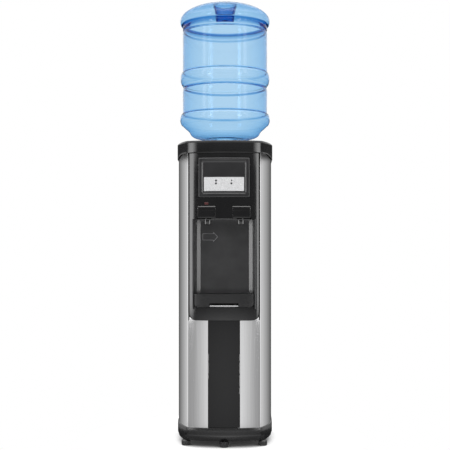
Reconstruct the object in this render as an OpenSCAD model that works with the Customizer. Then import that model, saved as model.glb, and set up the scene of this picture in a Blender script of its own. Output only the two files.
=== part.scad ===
// Floor-standing top-loading hot and cold water dispenser with its inverted bottle.
// Millimetres, +Z up, the front faces -Y. The origin is on the floor under the middle of the whole object.

/* [Cabinet] */
// Greatest width, over the top cap
body_w = 283; // [260:1:340]
// Depth from the front of the cap to its back
body_d = 300; // [290:1:360]
// Floor to the top of the cap
cabinet_h = 877; // [850:1:1050]
// How far the condenser stands out behind the cabinet
rear_stand = 18; // [15:1:24]
// Radius of the bowed front
front_bow_r = 328; // [280:1:500]
// Radius of the bowed sides
side_bow_r = 280; // [240:1:400]
// Depth at which the cabinet is widest
widest_depth = 150; // [130:1:170]
// Radius of the upright front corners
corner_r = 12; // [8:1:18]
// Radius of the upright rear corners
rear_corner_r = 14; // [8:1:18]

/* [Cap and base] */
// Height of the cap's front skirt
cap_h = 36; // [28:1:44]
// How much lower the skirt reaches at the sides and back
cap_drop = 9; // [4:1:14]
// Wall of the cap and base mouldings
moulding_t = 2.4; // [2:0.1:2.8]
// Height of the underside of the base
base_z = 17; // [14:1:24]
// Height of the base moulding
base_h = 40; // [34:1:55]
// Height of the tapered part of the base
base_taper_h = 17; // [10:1:20]
// How far the base tapers in
base_taper = 15; // [8:1:18]

/* [Metalwork] */
// Thickness of the stainless side panels
sheet_t = 1.2; // [0.8:0.1:1.5]
// Setback of the side panels behind the cap's edge
panel_inset = 3.5; // [3.4:0.1:4.5]
// Width of the flange that each side panel turns in at the back
rear_flange = 20; // [16:1:28]
// Thickness of the rear panel, the pan and the tank shelf
plate_t = 1.2; // [1:0.1:2]

/* [Front] */
// Half width of the black front moulding
fascia_half = 99; // [97:1:101]
// Shadow gap between the front moulding and the steel
fascia_gap = 4; // [2:1:6]
// Height of the front moulding's lower edge
fascia_z = 363.5; // [340:1:380]
// Radius of the front moulding's lower corners
fascia_r = 19; // [12:1:24]
// Thickness of the front moulding
fascia_t = 3; // [2.4:0.1:3.4]
// Half width of the centre strip below the moulding
strip_half = 44; // [36:1:56]

/* [Alcove] */
// Half width of the alcove at its mouth
alcove_half = 88; // [84:1:90]
// Height of the alcove's floor line, the top of the tray
alcove_z = 438.6; // [425:1:445]
// Height of the alcove's ceiling
nose_z = 651; // [645:1:670]
// Depth of the alcove
alcove_d = 115; // [100:1:116]
// How much narrower the alcove is at the back, on each side
alcove_draft = 7; // [3:1:9]
// Radius of the alcove's inner corners
alcove_r = 14; // [8:1:18]
// Wall of the alcove liner
liner_t = 2.4; // [2:0.1:3]

/* [Controls] */
// Half width of the control bezel
bezel_half = 74; // [70:1:78]
// Lower and upper edge of the control bezel
bezel_z = [714.5, 828];
// Width of the bezel's rim
bezel_rim = 11; // [8:1:14]
// Half width of the silver label
label_half = 57.2; // [50:1:60]
// Lower and upper edge of the silver label
label_z = [732.4, 772];
// Radius of an indicator lens
led_r = 1.6; // [1.2:0.1:2]
// Places of the indicators, across and up
led_at = [[-23.5, 762.8], [-23.5, 753.2], [22, 762.8], [22, 753.2]];

/* [Taps] */
// Distance of each spout from the middle
tap_x = 48; // [46:1:50]
// Depth of the spouts behind the front
tap_depth = 45; // [42:1:48]
// Outer radius of a spout
spout_r = 8.8; // [7:0.1:10]
// Height of the spout's mouth
spout_z = 638; // [630:1:642]
// Height of a valve barrel's axis
valve_z = 668; // [667:1:670]
// Radius of a valve barrel
valve_r = 10.5; // [9:0.1:11]
// Radius of a valve stem
stem_r = 3; // [2.5:0.1:3.5]
// Running clearance of stems and pins, on the radius
run_gap = 0.06; // [0.03:0.01:0.1]
// Half width of a paddle
paddle_half = 25.5; // [22:0.5:27]
// Distance of the paddles from the middle
paddle_x = 50; // [49:1:51]
// Lower and upper edge of the paddles
paddle_z = [655, 690];
// Height of the paddle hinge pins
pin_z = 684; // [682:1:685]
// Depth of the paddle hinge pins
pin_depth = 20; // [19:1:21]
// Radius of a hinge pin
pin_r = 2; // [1.5:0.1:2.5]
// Half width, half height and thickness of the child-lock button
lock_size = [5.5, 3.5, 6];
// Height of the child-lock button
lock_z = 697; // [696:1:699]

/* [Drip tray] */
// Half width of the tray's front
tray_half = 86; // [80:1:86]
// Half width of the tray's pan
tray_pan_half = 77; // [70:1:78]
// Height of the underside of the tray
tray_z = 401; // [396:1:405]
// Depth of the back of the tray
tray_rear_gap = 7; // [6:1:15]
// Wall of the tray
tray_t = 2.2; // [1.8:0.1:3]
// Radius of the tray front's lower corners
tray_r = 14; // [8:1:16]
// Half width and height of the finger slot in the tray's front
slot_size = [42, 11.5];
// Height of the grille's top face
grille_z = 433; // [428:1:434]
// Thickness of the grille
grille_t = 2.6; // [2:0.1:4]
// Number of slots across the grille
grille_slots = 12; // [8:1:16]

/* [Bottle] */
// Radius of the bottle's body
bottle_r = 126; // [110:1:128]
// Radius over the bottle's bands
band_r = 134; // [130:1:138]
// Wall of the bottle
bottle_t = 2; // [1.6:0.1:3]
// Outer radius of the bottle's neck
neck_r = 27.5; // [26:0.5:28]
// Length of the neck below the shoulder
neck_l = 66; // [50:1:68]
// Height of the bottle's shoulder above the cap
shoulder_z = 6; // [4:1:12]
// Height of the bottle from its shoulder to its top
bottle_h = 417; // [380:1:430]

/* [Cooling and heating] */
// Radius of the cold tank
cold_r = 80; // [70:1:82]
// Height of the cold tank
cold_h = 104; // [90:1:106]
// Radius of the cooling coil's tube
coil_r = 3; // [2:0.5:3.5]
// Turns of the cooling coil
coil_turns = 7; // [4:1:8]
// Thickness of the foam jacket
foam_t = 14; // [10:1:18]
// Radius of the hot tank
hot_r = 45; // [40:1:48]
// Height of the hot tank
hot_h = 140; // [120:1:145]
// Depth of the hot tank's axis
hot_depth = 205; // [200:1:215]
// Radius of the compressor's shell
comp_r = 60; // [50:1:64]
// Height of the compressor's shell
comp_h = 140; // [110:1:160]
// Runs of the condenser's tube
cond_runs = 13; // [8:1:14]
// Distance between the condenser's runs
cond_pitch = 40; // [30:1:40]
// Radius of the condenser's tube
cond_r = 2.5; // [2:0.1:3]

/* [Hidden] */
$fn = 64;

black = [0.07, 0.07, 0.08];
dark = [0.16, 0.16, 0.17];
steel = [0.72, 0.72, 0.74];
copper = [0.72, 0.45, 0.3];
blue = [0.55, 0.75, 0.92, 0.5];

gap = 0.5;                                   // between pieces that don't move
eps = 0.01;
front_y = -(body_d + rear_stand) / 2;        // the cap's front, in the row's frame
base_inset = 1;
skirt_z = cabinet_h - cap_h;
cap_low_z = skirt_z - cap_drop;
base_top = base_z + base_h;
fascia_inset = 2;
fascia_back = fascia_inset + fascia_t;
tray_d = alcove_d - tray_rear_gap;
paddle_inset = fascia_inset + 0.5;
fascia_top = skirt_z - gap;
panel_back = panel_inset + sheet_t;
panel_z0 = base_top - 10;
panel_z1 = skirt_z + 8;
bottle_depth = widest_depth;
rear_in = body_d - panel_back;               // inside of the side panels' rear flange, as a depth
rear_out = body_d - panel_inset + 0.3 + plate_t;
shelf_z = cabinet_h - 197;
cold_z = shelf_z + plate_t + 8;
seat_z = cold_z + cold_h + 6;
coil_in = cold_r + 1;
foam_in = coil_in + 2 * coil_r + 1;
foam_out = foam_in + foam_t;
hot_z = valve_z - hot_h - 28;
pan_z = base_z + moulding_t + 4;
comp_z = pan_z + 16;
comp_x = -20;
comp_depth = 205;
drain_z = 480;
inlet_z = 275;
switch_z = shelf_z + 55;
services_x = 85;                             // middle of the strip that carries inlet, drain and switches
cond_x0 = -105;
cond_x1 = 45;
cond_z0 = 130;
strap_t = 1.5;
cond_depth = body_d + rear_stand - strap_t - 0.2 - cond_r;

// ---- plan outline of the cabinet, set in by i ----
function arc(c, r, a0, a1, n, skip = 1) = [for (k = [skip:n]) let (a = a0 + (a1 - a0) * k / n)
  [c[0] + r * cos(a), c[1] + r * sin(a)]];
// The point at distance ra from a and rb from b, on the side that the corner bulges towards
function meet(a, ra, b, rb) = let (v = b - a, d = norm(v), m = (ra * ra - rb * rb + d * d) / (2 * d),
  h = sqrt(ra * ra - m * m)) a + m * v / d + h * [-v[1], v[0]] / d;
function angle_of(v) = atan2(v[1], v[0]);
function half_plan(i) = let (
    f = [0, front_y + front_bow_r], s = [body_w / 2 - side_bow_r, front_y + widest_depth],
    rf = front_bow_r - i, rs = side_bow_r - i, rc = max(corner_r - i, 2), rr = max(rear_corner_r - i, 2),
    c = meet(f, rf - rc, s, rs - rc), fc = angle_of(c - f), sc = angle_of(c - s),
    k = [body_w / 2 - i - rr, front_y + body_d - i - rr])
  concat(arc(f, rf, -90, fc, 9), arc(c, rc, fc, sc, 4), arc(s, rs, sc, 0, 8), arc(k, rr, 0, 90, 4, 0));
function plan_points(i) = let (h = half_plan(i), n = len(h))
  concat([[0, front_y + i]], h, [for (k = [n - 1:-1:0]) [-h[k][0], h[k][1]]]);
// Depth of the front face at x, when set in by i
function bow_depth(x, i = 0) = front_bow_r - sqrt(pow(front_bow_r - i, 2) - x * x);

module plan(i) polygon(plan_points(i));
module slab(i, z0, z1) translate([0, 0, z0]) linear_extrude(z1 - z0) plan(i);
module shell(i, t, z0, z1) translate([0, 0, z0]) linear_extrude(z1 - z0) difference() {
  plan(i);
  plan(i + t);
}
// A box from depth d0 to d1 behind the front, between x0..x1 and z0..z1
module block(x0, x1, d0, d1, z0, z1) translate([x0, front_y + d0, z0]) cube([x1 - x0, d1 - d0, z1 - z0]);
module at(x, d, z) translate([x, front_y + d, z]) children();
module rod_y(r, d0, d1) translate([0, d0, 0]) rotate([-90, 0, 0]) cylinder(r = r, h = d1 - d0);
module rod_x(r, x0, x1) translate([x0, 0, 0]) rotate([0, 90, 0]) cylinder(r = r, h = x1 - x0);
module tube(ro, ri, h) rotate_extrude() translate([ri, 0]) square([ro - ri, h]);
module twin() { children(); mirror([1, 0, 0]) children(); }
// An upright plate seen from the front, with rounded corners of radius r below and rt above
function corner(x, z, r, a) = r > 0 ? arc([x, z], r, a, a + 90, 6, 0) : [[x, z]];
function front_plate(half, z0, z1, r, rt = 0) = concat(
  corner(-half + r, z0 + r, r, 180), corner(half - r, z0 + r, r, 270),
  corner(half - rt, z1 - rt, rt, 0), corner(-half + rt, z1 - rt, rt, 90));
module front_cut(points, d0, d1) translate([0, front_y + d1, 0]) rotate([90, 0, 0])
  linear_extrude(d1 - d0) polygon(points);
// A hose along points, with a slightly fuller ball at each bend
module hose(points, r) {
  for (k = [1:len(points) - 1]) {
    a = points[k - 1];
    v = points[k] - a;
    at(a[0], a[1], a[2]) rotate([0, acos(v[2] / norm(v)), angle_of(v)])
      cylinder(r = r, h = norm(v), $fn = 24);
  }
  for (k = [1:1:len(points) - 2]) let (p = points[k], out = 2 * p - points[k - 1] - points[k + 1])
    at(p[0], p[1], p[2]) rotate(angle_of(out)) sphere(r = r * 1.08, $fn = 24);
}

// ---- base ----
module base_plinth() color(dark) difference() {
  union() {
    hull() {
      slab(base_inset + base_taper, base_z, base_z + eps);
      slab(base_inset, base_z + base_taper_h, base_z + base_taper_h + eps);
    }
    slab(base_inset, base_z + base_taper_h, base_top);
  }
  hull() {
    slab(base_inset + base_taper + moulding_t, base_z + moulding_t, base_z + moulding_t + eps);
    slab(base_inset + moulding_t, base_z + base_taper_h + moulding_t,
      base_z + base_taper_h + moulding_t + eps);
  }
  slab(base_inset + moulding_t, base_z + base_taper_h, base_top + 1);
  at(0, foot_depth, base_z - 1) cylinder(r = stud_r + 1, h = 10);
}
pan_feet = [[-111, 50], [111, 50], [-111, 262], [111, 262]];
foot_screw_r = 2.2;
foot_depth = 21;
foot_ribs = 20;
stud_r = 4;
grommet_r = 5;                               // holes for the compressor's bolts and grommets
comp_bolts = [[-45, -45], [45, -45], [-45, 45], [45, 45]];
module base_pan() color(steel) difference() {
  union() {
    slab(base_inset + base_taper + moulding_t + 2, pan_z, pan_z + plate_t);
    block(-14, 14, foot_depth - stud_r - 1.4, foot_depth + 20, pan_z, pan_z + plate_t);
  }
  at(0, foot_depth, pan_z - 1) cylinder(r = stud_r + run_gap, h = plate_t + 2);
  for (p = comp_bolts)
    at(comp_x + p[0], comp_depth + p[1], pan_z - 1) cylinder(r = grommet_r, h = plate_t + 2);
}
module corner_feet() color(black) for (p = pan_feet) at(p[0], p[1], 0) difference() {
  rotate_extrude() polygon([[0, 0], [11, 0], [13, 3], [13, base_z - 4], [10, base_z], [0, base_z]]);
  translate([0, 0, 6]) cylinder(r = foot_screw_r, h = base_z);
}
module levelling_foot() color(dark) at(0, foot_depth, 0) union() {
  cylinder(r = 12.5, h = 7.5);
  translate([0, 0, 7.5]) cylinder(r = 13.6, h = base_z - gap - 7.5);
  translate([0, 0, base_z - 2]) cylinder(r = stud_r, h = pan_z + plate_t + 5 - base_z);
  for (k = [0:foot_ribs - 1]) rotate([0, 0, k * 360 / foot_ribs])
    translate([12.6, -0.9, 8.5]) cube([1.9, 1.8, base_z - gap - 9.5]);
}

// ---- metalwork ----
module side_panel() color(steel) difference() {
  translate([0, 0, panel_z0]) linear_extrude(panel_z1 - panel_z0) intersection() {
    difference() { plan(panel_inset); plan(panel_back); }
    union() {
      translate([strip_half + gap, front_y]) square([body_w, body_d - 20]);
      translate([body_w / 2 - panel_back - rear_flange, front_y + body_d - 40]) square([body_w, 60]);
    }
  }
  front_cut(front_plate(fascia_half + fascia_gap, fascia_z - gap, panel_z1 + 50, fascia_r + fascia_gap),
    -5, 60);
  for (z = screw_z) at(screw_x, rear_in, z) rod_y(screw_r + 0.3, -5, 10);
}
module side_panel_right() side_panel();
module side_panel_left() mirror([1, 0, 0]) side_panel();
screw_r = 1.6;
screw_x = body_w / 2 - panel_back - rear_flange + 8;
screw_z = [110, 330, 560, 790];
rear_half = screw_x + 6;
bay_half = 92;
bay_z = [78, 236];
louvre_z = 716;
module rear_panel() color(dark) difference() {
  block(-rear_half, rear_half, rear_out - plate_t, rear_out, base_top + 1, cap_low_z - 1);
  block(-bay_half, bay_half, rear_out - 5, rear_out + 5, bay_z[0], bay_z[1]);
  for (z = screw_z) twin() at(screw_x, rear_out, z) rod_y(screw_r + 0.3, -5, 5);
  for (k = [0:7]) let (z = louvre_z + k * 12) block(-80, 20, rear_out - 5, rear_out + 5, z, z + 5);
  at(services_x, rear_out, drain_z) rod_y(9, -5, 5);
  block(services_x - 16, services_x + 16, rear_out - 5, rear_out + 5, inlet_z - 12, inlet_z + 12);
  block(services_x - 14, services_x + 14, rear_out - 5, rear_out + 5, switch_z - 30, switch_z + 30);
}
module rear_screws() color(steel) for (z = screw_z) twin() at(screw_x, rear_out, z) {
  rod_y(screw_r, -6, 0.2);
  rod_y(3.2, 0.05, 1.7);
}

// ---- top ----
cap_hole_r = 80;
skirt_step_d = 95;                           // from here back the skirt reaches down by cap_drop
module top_cap() color(black) difference() {
  union() {
    slab(0, skirt_z, cabinet_h);
    intersection() {
      slab(0, cap_low_z, skirt_z + 1);
      block(-body_w, body_w, skirt_step_d, body_d + 50, cap_low_z - 1, skirt_z + 1);
    }
  }
  slab(moulding_t + 0.6, cap_low_z - 1, cabinet_h - moulding_t);
  at(0, bottle_depth, 0) cylinder(r = cap_hole_r, h = cabinet_h + 10);
}
seat_bore_r = 37;
seat_rim_r = 50;
seat_top = cabinet_h + shoulder_z + 3;
module bottle_seat() color(dark) at(0, bottle_depth, 0) rotate_extrude() polygon([
  [14, seat_z], [seat_bore_r + 2.5, seat_z], [seat_bore_r + 2.5, cabinet_h - 16],
  [seat_rim_r + 6, cabinet_h - 8],
  [cap_hole_r - 1, cabinet_h - 6], [cap_hole_r - 1, cabinet_h + 0.4], [cap_hole_r + 6, cabinet_h + 0.4],
  [cap_hole_r + 6, cabinet_h + 2.4], [cap_hole_r - 4, cabinet_h + 2.8], [seat_rim_r + 4, seat_top],
  [seat_rim_r + 3, seat_top], [seat_rim_r + 2.6, seat_top - 2], [seat_rim_r - 2.6, seat_top - 2],
  [seat_rim_r - 4, seat_top], [seat_bore_r + 3, cabinet_h - 1], [seat_bore_r, cabinet_h - 13],
  [seat_bore_r, seat_z + 2.5], [14, seat_z + 2.5]]);
module seat_gasket() color([0.85, 0.85, 0.86]) at(0, bottle_depth, seat_top - 1.95)
  tube(seat_rim_r + 2.4, seat_rim_r - 2.4, 3.2);
probe_r = 9.5;
module seat_probe() color("white") at(0, bottle_depth, seat_z) difference() {
  union() {
    translate([0, 0, 3]) cylinder(r = 20, h = 2.5);
    translate([0, 0, -8]) cylinder(r = 13.4, h = 12);
    cylinder(r = probe_r, h = 55);
    translate([0, 0, 55]) cylinder(r1 = probe_r, r2 = 3, h = 10);
  }
  translate([0, 0, -9]) cylinder(r = 6, h = 58);
  translate([0, 0, 42]) rod_y(3, -15, 15);
}

// ---- front ----
tray_gap = 1;
module front_fascia() color(black) difference() {
  union() {
    intersection() {
      shell(fascia_inset, fascia_t, fascia_z, fascia_top);
      front_cut(front_plate(fascia_half, fascia_z, fascia_top, fascia_r), -5, 40);
    }
    // bosses that carry the paddle pins
    for (s = [-1, 1], e = [-1, 1]) let (x = s * paddle_x + e * (paddle_half + 3.5)) intersection() {
      block(x - 2.5, x + 2.5, 2, pin_depth + 4, pin_z - 4, pin_z + 4);
      slab(fascia_back - 0.8, pin_z - 10, pin_z + 10);
    }
  }
  front_cut(front_plate(alcove_half, tray_z - tray_gap, nose_z, tray_r), -5, 60);
  front_cut(front_plate(bezel_half + gap, bezel_z[0] - gap, bezel_z[1] + gap, 3, 3), -5, 60);
  for (s = [-1, 1]) translate([s * paddle_x, 0, 0])
    front_cut(front_plate(paddle_half + 1, nose_z - 1, paddle_z[1] + 1, 0), -5, 19.5);
  translate([-paddle_x, 0, 0])
    front_cut(front_plate(lock_size[0] + 0.4, lock_z - lock_size[1] - 0.4, lock_z + lock_size[1] + 0.4, 0),
      -5, 20);
  for (s = [-1, 1]) at(s * paddle_x, pin_depth, pin_z) rod_x(pin_r, -paddle_half - 6.5, paddle_half + 6.5);
}
module lower_strip() color(black) intersection() {
  shell(panel_inset, fascia_t, base_top + gap, fascia_z - gap);
  block(-strip_half, strip_half, -5, 30, 0, cabinet_h);
}
function liner_points(t) = let (h0 = alcove_half + t, h1 = alcove_half - alcove_draft + t, d = alcove_d + t,
    r = alcove_r + t) concat(
  [[-h0, front_y], [h0, front_y]], arc([h1 - r, front_y + d - r], r, 0, 90, 6, 0),
  arc([r - h1, front_y + d - r], r, 90, 180, 6, 0));
roof_t = 1.4;                                // thin, so that the paddles swing clear above it
module alcove_liner() color(dark) difference() {
  intersection() {
    union() {
      translate([0, 0, tray_z - 5]) linear_extrude(nose_z + liner_t - tray_z + 4.2) difference() {
        polygon(liner_points(liner_t));
        polygon(liner_points(0));
      }
      translate([0, 0, tray_z - 5]) linear_extrude(liner_t) polygon(liner_points(liner_t / 2));
      translate([0, 0, nose_z - 0.8]) linear_extrude(roof_t) polygon(liner_points(liner_t / 2));
    }
    slab(fascia_back + 0.3, 0, cabinet_h);
  }
  twin() at(tap_x, tap_depth, nose_z - 10) cylinder(r = spout_r + 0.8, h = 20);
}
// A raised arrow outline that points to the hot side, without words
module arrow_badge() color([0.3, 0.3, 0.31]) front_cut_at() difference() {
  polygon([[-66, 593], [-34, 593], [-34, 588], [-20, 603], [-34, 618], [-34, 613], [-66, 613]]);
  polygon([[-64.6, 594.4], [-32.6, 594.4], [-32.6, 591.4], [-22, 603],
    [-32.6, 614.6], [-32.6, 611.6], [-64.6, 611.6]]);
}
module front_cut_at() translate([0, front_y + alcove_d - 0.1, 0]) rotate([90, 0, 0])
  linear_extrude(0.8) children();

// ---- controls ----
module control_bezel() color(black) difference() {
  union() {
    difference() {
      intersection() {
        shell(fascia_inset - 1, fascia_t, bezel_z[0], bezel_z[1]);
        front_cut(front_plate(bezel_half, bezel_z[0], bezel_z[1], 3, 3), -5, 40);
      }
      front_cut(front_plate(bezel_half - bezel_rim, bezel_z[0] + 8, bezel_z[1] - 4, 2, 2), -5, 40);
    }
    intersection() {
      shell(fascia_inset + 1.5, 2, bezel_z[0] + 2, bezel_z[1] - 2);
      front_cut(front_plate(bezel_half - 2, bezel_z[0] + 2, bezel_z[1] - 2, 0), -5, 40);
    }
  }
  for (p = led_at) at(p[0], 0, p[1]) rod_y(led_r + 0.2, -5, 30);
}
module control_label() color([0.8, 0.8, 0.82]) difference() {
  intersection() {
    shell(fascia_inset + 0.7, 0.7, label_z[0], label_z[1]);
    front_cut(front_plate(label_half, label_z[0], label_z[1], 0), -5, 40);
  }
  for (p = led_at) at(p[0], 0, p[1]) rod_y(led_r + 0.2, -5, 30);
}
module indicator_leds() color([0.1, 0.1, 0.11]) for (p = led_at)
  at(p[0], bow_depth(p[0], fascia_inset), p[1]) rod_y(led_r, 0.2, 9);
board_depth = 20;
module control_board() color([0.1, 0.35, 0.2]) union() {
  block(-50, 50, board_depth, board_depth + 1.6, 734, 784);
  block(-30, -12, board_depth + 1.5, board_depth + 9, 738, 752);
  block(10, 34, board_depth + 1.5, board_depth + 12, 740, 762);
}

// ---- taps and paddles ----
module tap_body() difference() {
  union() {
    at(tap_x, tap_depth, spout_z) cylinder(r = spout_r, h = valve_z - spout_z);
    at(tap_x, tap_depth, nose_z + 2.4) cylinder(r = 13, h = 3);
    at(tap_x, 0, valve_z) rod_y(valve_r, barrel_d0, barrel_d1);
    at(tap_x, 0, valve_z) rod_y(5.5, barrel_d1 - 1, barb_d);
  }
  at(tap_x, tap_depth, spout_z - 1) cylinder(r = spout_r - 2.8, h = valve_z - spout_z - 2);
  at(tap_x, 0, valve_z) rod_y(stem_r + run_gap, 20, 60);
}
module cold_tap_body() color(black) tap_body();
module hot_tap_body() color(black) mirror([1, 0, 0]) tap_body();
barrel_d0 = 32;                              // depths of the valve barrel's ends and of its hose barb
barrel_d1 = 72;
barb_d = 84;
stem_front = bow_depth(tap_x, paddle_inset + fascia_t) + 1.2;  // just behind the paddle's back
collar_d = stem_front + 5;
module stem() at(tap_x, 0, valve_z) union() {
  rod_y(stem_r, stem_front, barrel_d0 + 18);
  rod_y(5.5, collar_d, collar_d + 1.6);
}
module cold_stem() color("white") stem();
module hot_stem() color("white") mirror([1, 0, 0]) stem();
spring_turns = 6;
module tap_springs() color(steel) twin() for (k = [0:spring_turns - 1])
  at(tap_x, collar_d + 2.4 + k * (barrel_d0 - collar_d - 3.2) / (spring_turns - 1), valve_z)
    rotate([-90, 0, 0]) rotate_extrude($fn = 32) translate([4.6, 0]) circle(r = 0.5, $fn = 16);
lug_x = 17;
module paddle() difference() {
  union() {
    intersection() {
      shell(paddle_inset, fascia_t, paddle_z[0], paddle_z[1]);
      block(paddle_x - paddle_half, paddle_x + paddle_half, -5, 60, 0, cabinet_h);
    }
    for (e = [-1, 1]) intersection() {
      block(paddle_x + e * lug_x - 2, paddle_x + e * lug_x + 2, 4, pin_depth + 4, pin_z - 5, pin_z + 4);
      slab(fascia_back - 0.4, 0, cabinet_h);
    }
  }
  at(paddle_x, pin_depth, pin_z) rod_x(pin_r + run_gap, -30, 30);
}
module cold_paddle() color(black) paddle();
module hot_paddle() color(black) mirror([1, 0, 0]) paddle();
module paddle_pins() color(steel) for (s = [-1, 1]) at(s * paddle_x, pin_depth, pin_z)
  rod_x(pin_r, -paddle_half - 5.5, paddle_half + 5.5);
module child_lock_button() color([0.7, 0.12, 0.1])
  at(-paddle_x, bow_depth(paddle_x, fascia_inset) - 1.2, lock_z)
    translate([-lock_size[0], 0, -lock_size[1]]) cube([2 * lock_size[0], lock_size[2], 2 * lock_size[1]]);

// ---- drip tray ----
pan_d0 = 12;
pan_top = alcove_z - 2;
module pan_solid(inset, z0, z1) translate([0, 0, z0]) linear_extrude(z1 - z0) polygon(concat(
  [[-tray_pan_half + inset, front_y + pan_d0 + inset], [tray_pan_half - inset, front_y + pan_d0 + inset]],
  arc([tray_pan_half - 12, front_y + tray_d - 12], 12 - inset, 0, 90, 6, 0),
  arc([12 - tray_pan_half, front_y + tray_d - 12], 12 - inset, 90, 180, 6, 0)));
module drip_tray() color(dark) difference() {
  union() {
    intersection() {
      shell(0.6, 4, tray_z, alcove_z);
      front_cut(front_plate(tray_half, tray_z, alcove_z, tray_r), -5, 40);
    }
    difference() {
      pan_solid(0, tray_z + 12, pan_top);
      pan_solid(tray_t, tray_z + 12 + tray_t, pan_top + 1);
    }
    intersection() {
      block(-tray_pan_half, tray_pan_half, 2, pan_d0 + tray_t, tray_z + 12, pan_top);
      slab(3, 0, cabinet_h);
    }
    // corner posts that carry the grille
    for (x = [-1, 1], d = [pan_d0 + tray_t + 3, tray_d - tray_t - 5])
      at(x * (tray_pan_half - 6), d, tray_z + 13)
        cylinder(r = 3.4, h = grille_z - grille_t - 0.3 - tray_z - 13);
  }
  front_cut(front_plate(slot_size[0], tray_z - 20, tray_z + slot_size[1], 0, 4), -5, 13.5);
}
module tray_grip() color("silver") intersection() {
  shell(8, 2.4, tray_z + 0.6, tray_z + 5.6);
  block(-slot_size[0], slot_size[0], -5, 30, 0, cabinet_h);
}
grille_half = tray_pan_half - tray_t - 0.6;
grille_d0 = pan_d0 + tray_t + 0.6;
grille_d1 = tray_d - tray_t - 0.6;
slot_bridge = 6;                             // the bar between the two rows of slots
slot_l = (grille_d1 - grille_d0 - 16 - slot_bridge) / 2;
module drip_grille() color(black) difference() {
  block(-grille_half, grille_half, grille_d0, grille_d1, grille_z - grille_t, grille_z);
  for (x = [-1, 1]) at(x * grille_half, grille_d1, 0) rotate([0, 0, 45]) cube([14, 14, 2000], center = true);
  for (k = [0:grille_slots - 1], far = [0, 1])
    let (x = -grille_half + 12 + k * (2 * grille_half - 24) / (grille_slots - 1),
      d = grille_d0 + 8 + far * (slot_l + slot_bridge))
      block(x - 2.2, x + 2.2, d, d + slot_l, 0, cabinet_h);
}

// ---- bottle, standing on its shoulder ----
bz = cabinet_h + shoulder_z;
function bulge(z0, z1, r0, r1, n) = [for (k = [0:n])
  [r0 + (r1 - r0) * sqrt(sin(180 * k / n)), z0 + (z1 - z0) * k / n]];
dome_h = bottle_h * 0.127;
dome_z = bz + bottle_h - dome_h;
punt_r = 26;
punt_h = 40;
punt_floor_r = punt_r - 6;
punt_z = dome_z + dome_h - punt_h;
bottle_line = concat(
  [[neck_r, bz - neck_l], [neck_r, bz - 6], [neck_r + 1.5, bz - 2], [neck_r + 6, bz + 2]],
  [for (q = [[64, 11], [41, 15], [30, 19.5], [24, 25], [21, 31], [16, 37], [9, 43], [1, 50]])
    [bottle_r - q[0], bz + q[1]]],             // the shoulder: how far in from the body, and how high
  bulge(bz + 52, bz + 88, bottle_r, band_r, 8), [[bottle_r, bz + 92]],
  [[bottle_r, bz + 160], [bottle_r - 3, bz + 163], [bottle_r - 3, bz + 165], [bottle_r, bz + 168]],
  bulge(bz + 172, bz + 211, bottle_r, band_r - 1, 8), [[bottle_r, bz + 215]],
  [[bottle_r, dome_z - 35], [bottle_r - 2, dome_z - 33]],
  [[bottle_r - 2, dome_z - 31], [bottle_r, dome_z - 29]],
  [[bottle_r, dome_z - 17]],
  [for (a = [-50:10:0]) [band_r - 6 + 6 * cos(a * 1.8), dome_z + 14 * sin(a * 1.6)]],
  [for (a = [8:8:76]) [band_r * cos(a), dome_z + dome_h * sin(a)]],
  [[punt_r + 5, dome_z + dome_h * 0.985], [punt_r, dome_z + dome_h - 4], [punt_floor_r, punt_z]]);
function unit_normal(p, k) = let (a = p[max(k - 1, 0)], b = p[min(k + 1, len(p) - 1)],
  v = (b - a) / norm(b - a)) [v[1], -v[0]];
function thinned(p, t) = [for (k = [len(p) - 1:-1:0]) p[k] - t * unit_normal(p, k)];
// The bottle is one blown piece, made as two nodes that meet on a plane under its base
base_split_z = dome_z - 23;
module bottle_between(z0, z1) color(blue) at(0, bottle_depth, 0) rotate_extrude($fn = 96) intersection() {
  polygon(concat(
    bottle_line, [[0, punt_z], [0, punt_z - bottle_t], [punt_floor_r + bottle_t * 0.6, punt_z - bottle_t]],
    thinned([for (k = [0:len(bottle_line) - 2]) bottle_line[k]], bottle_t)));
  translate([0, z0]) square([2 * band_r, z1 - z0]);
}
module bottle() bottle_between(bz - neck_l - 1, base_split_z);
module bottle_base() bottle_between(base_split_z, bz + bottle_h + 1);
neck_z = bz - neck_l;
module bottle_cap() color([0.1, 0.3, 0.65]) at(0, bottle_depth, neck_z - 4) difference() {
  cylinder(r = neck_r + 3, h = 28);
  translate([0, 0, 3]) cylinder(r = neck_r + 0.5, h = 30);
  translate([0, 0, -1]) cylinder(r = probe_r + 3, h = 10);
}

// ---- cold side ----
module cold_tank() color(steel) at(0, bottle_depth, cold_z) difference() {
  cylinder(r = cold_r, h = cold_h);
  translate([0, 0, 1]) cylinder(r = cold_r - 1, h = cold_h - 2);
  translate([0, 0, cold_h - 5]) cylinder(r = 15, h = 10);
  translate([cold_outlet[0], cold_outlet[1] - bottle_depth, -5]) cylinder(r = 5, h = 10);
  translate([0, hot_depth - bottle_depth, -5]) cylinder(r = 5, h = 10);
}
cold_outlet = [30, 105];
module tank_baffle() color("white") at(0, bottle_depth, cold_z + cold_h * 0.55) difference() {
  cylinder(r = cold_r - 2, h = 3);
  for (k = [0:5]) rotate([0, 0, k * 60]) translate([cold_r * 0.6, 0, -1]) cylinder(r = 6, h = 5);
}
module evaporator_coil() color(copper) at(0, bottle_depth, 0) for (k = [0:coil_turns - 1])
  translate([0, 0, cold_z + 12 + k * (cold_h - 24) / (coil_turns - 1)])
    rotate_extrude() translate([coil_in + coil_r, 0]) circle(r = coil_r, $fn = 24);
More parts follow.
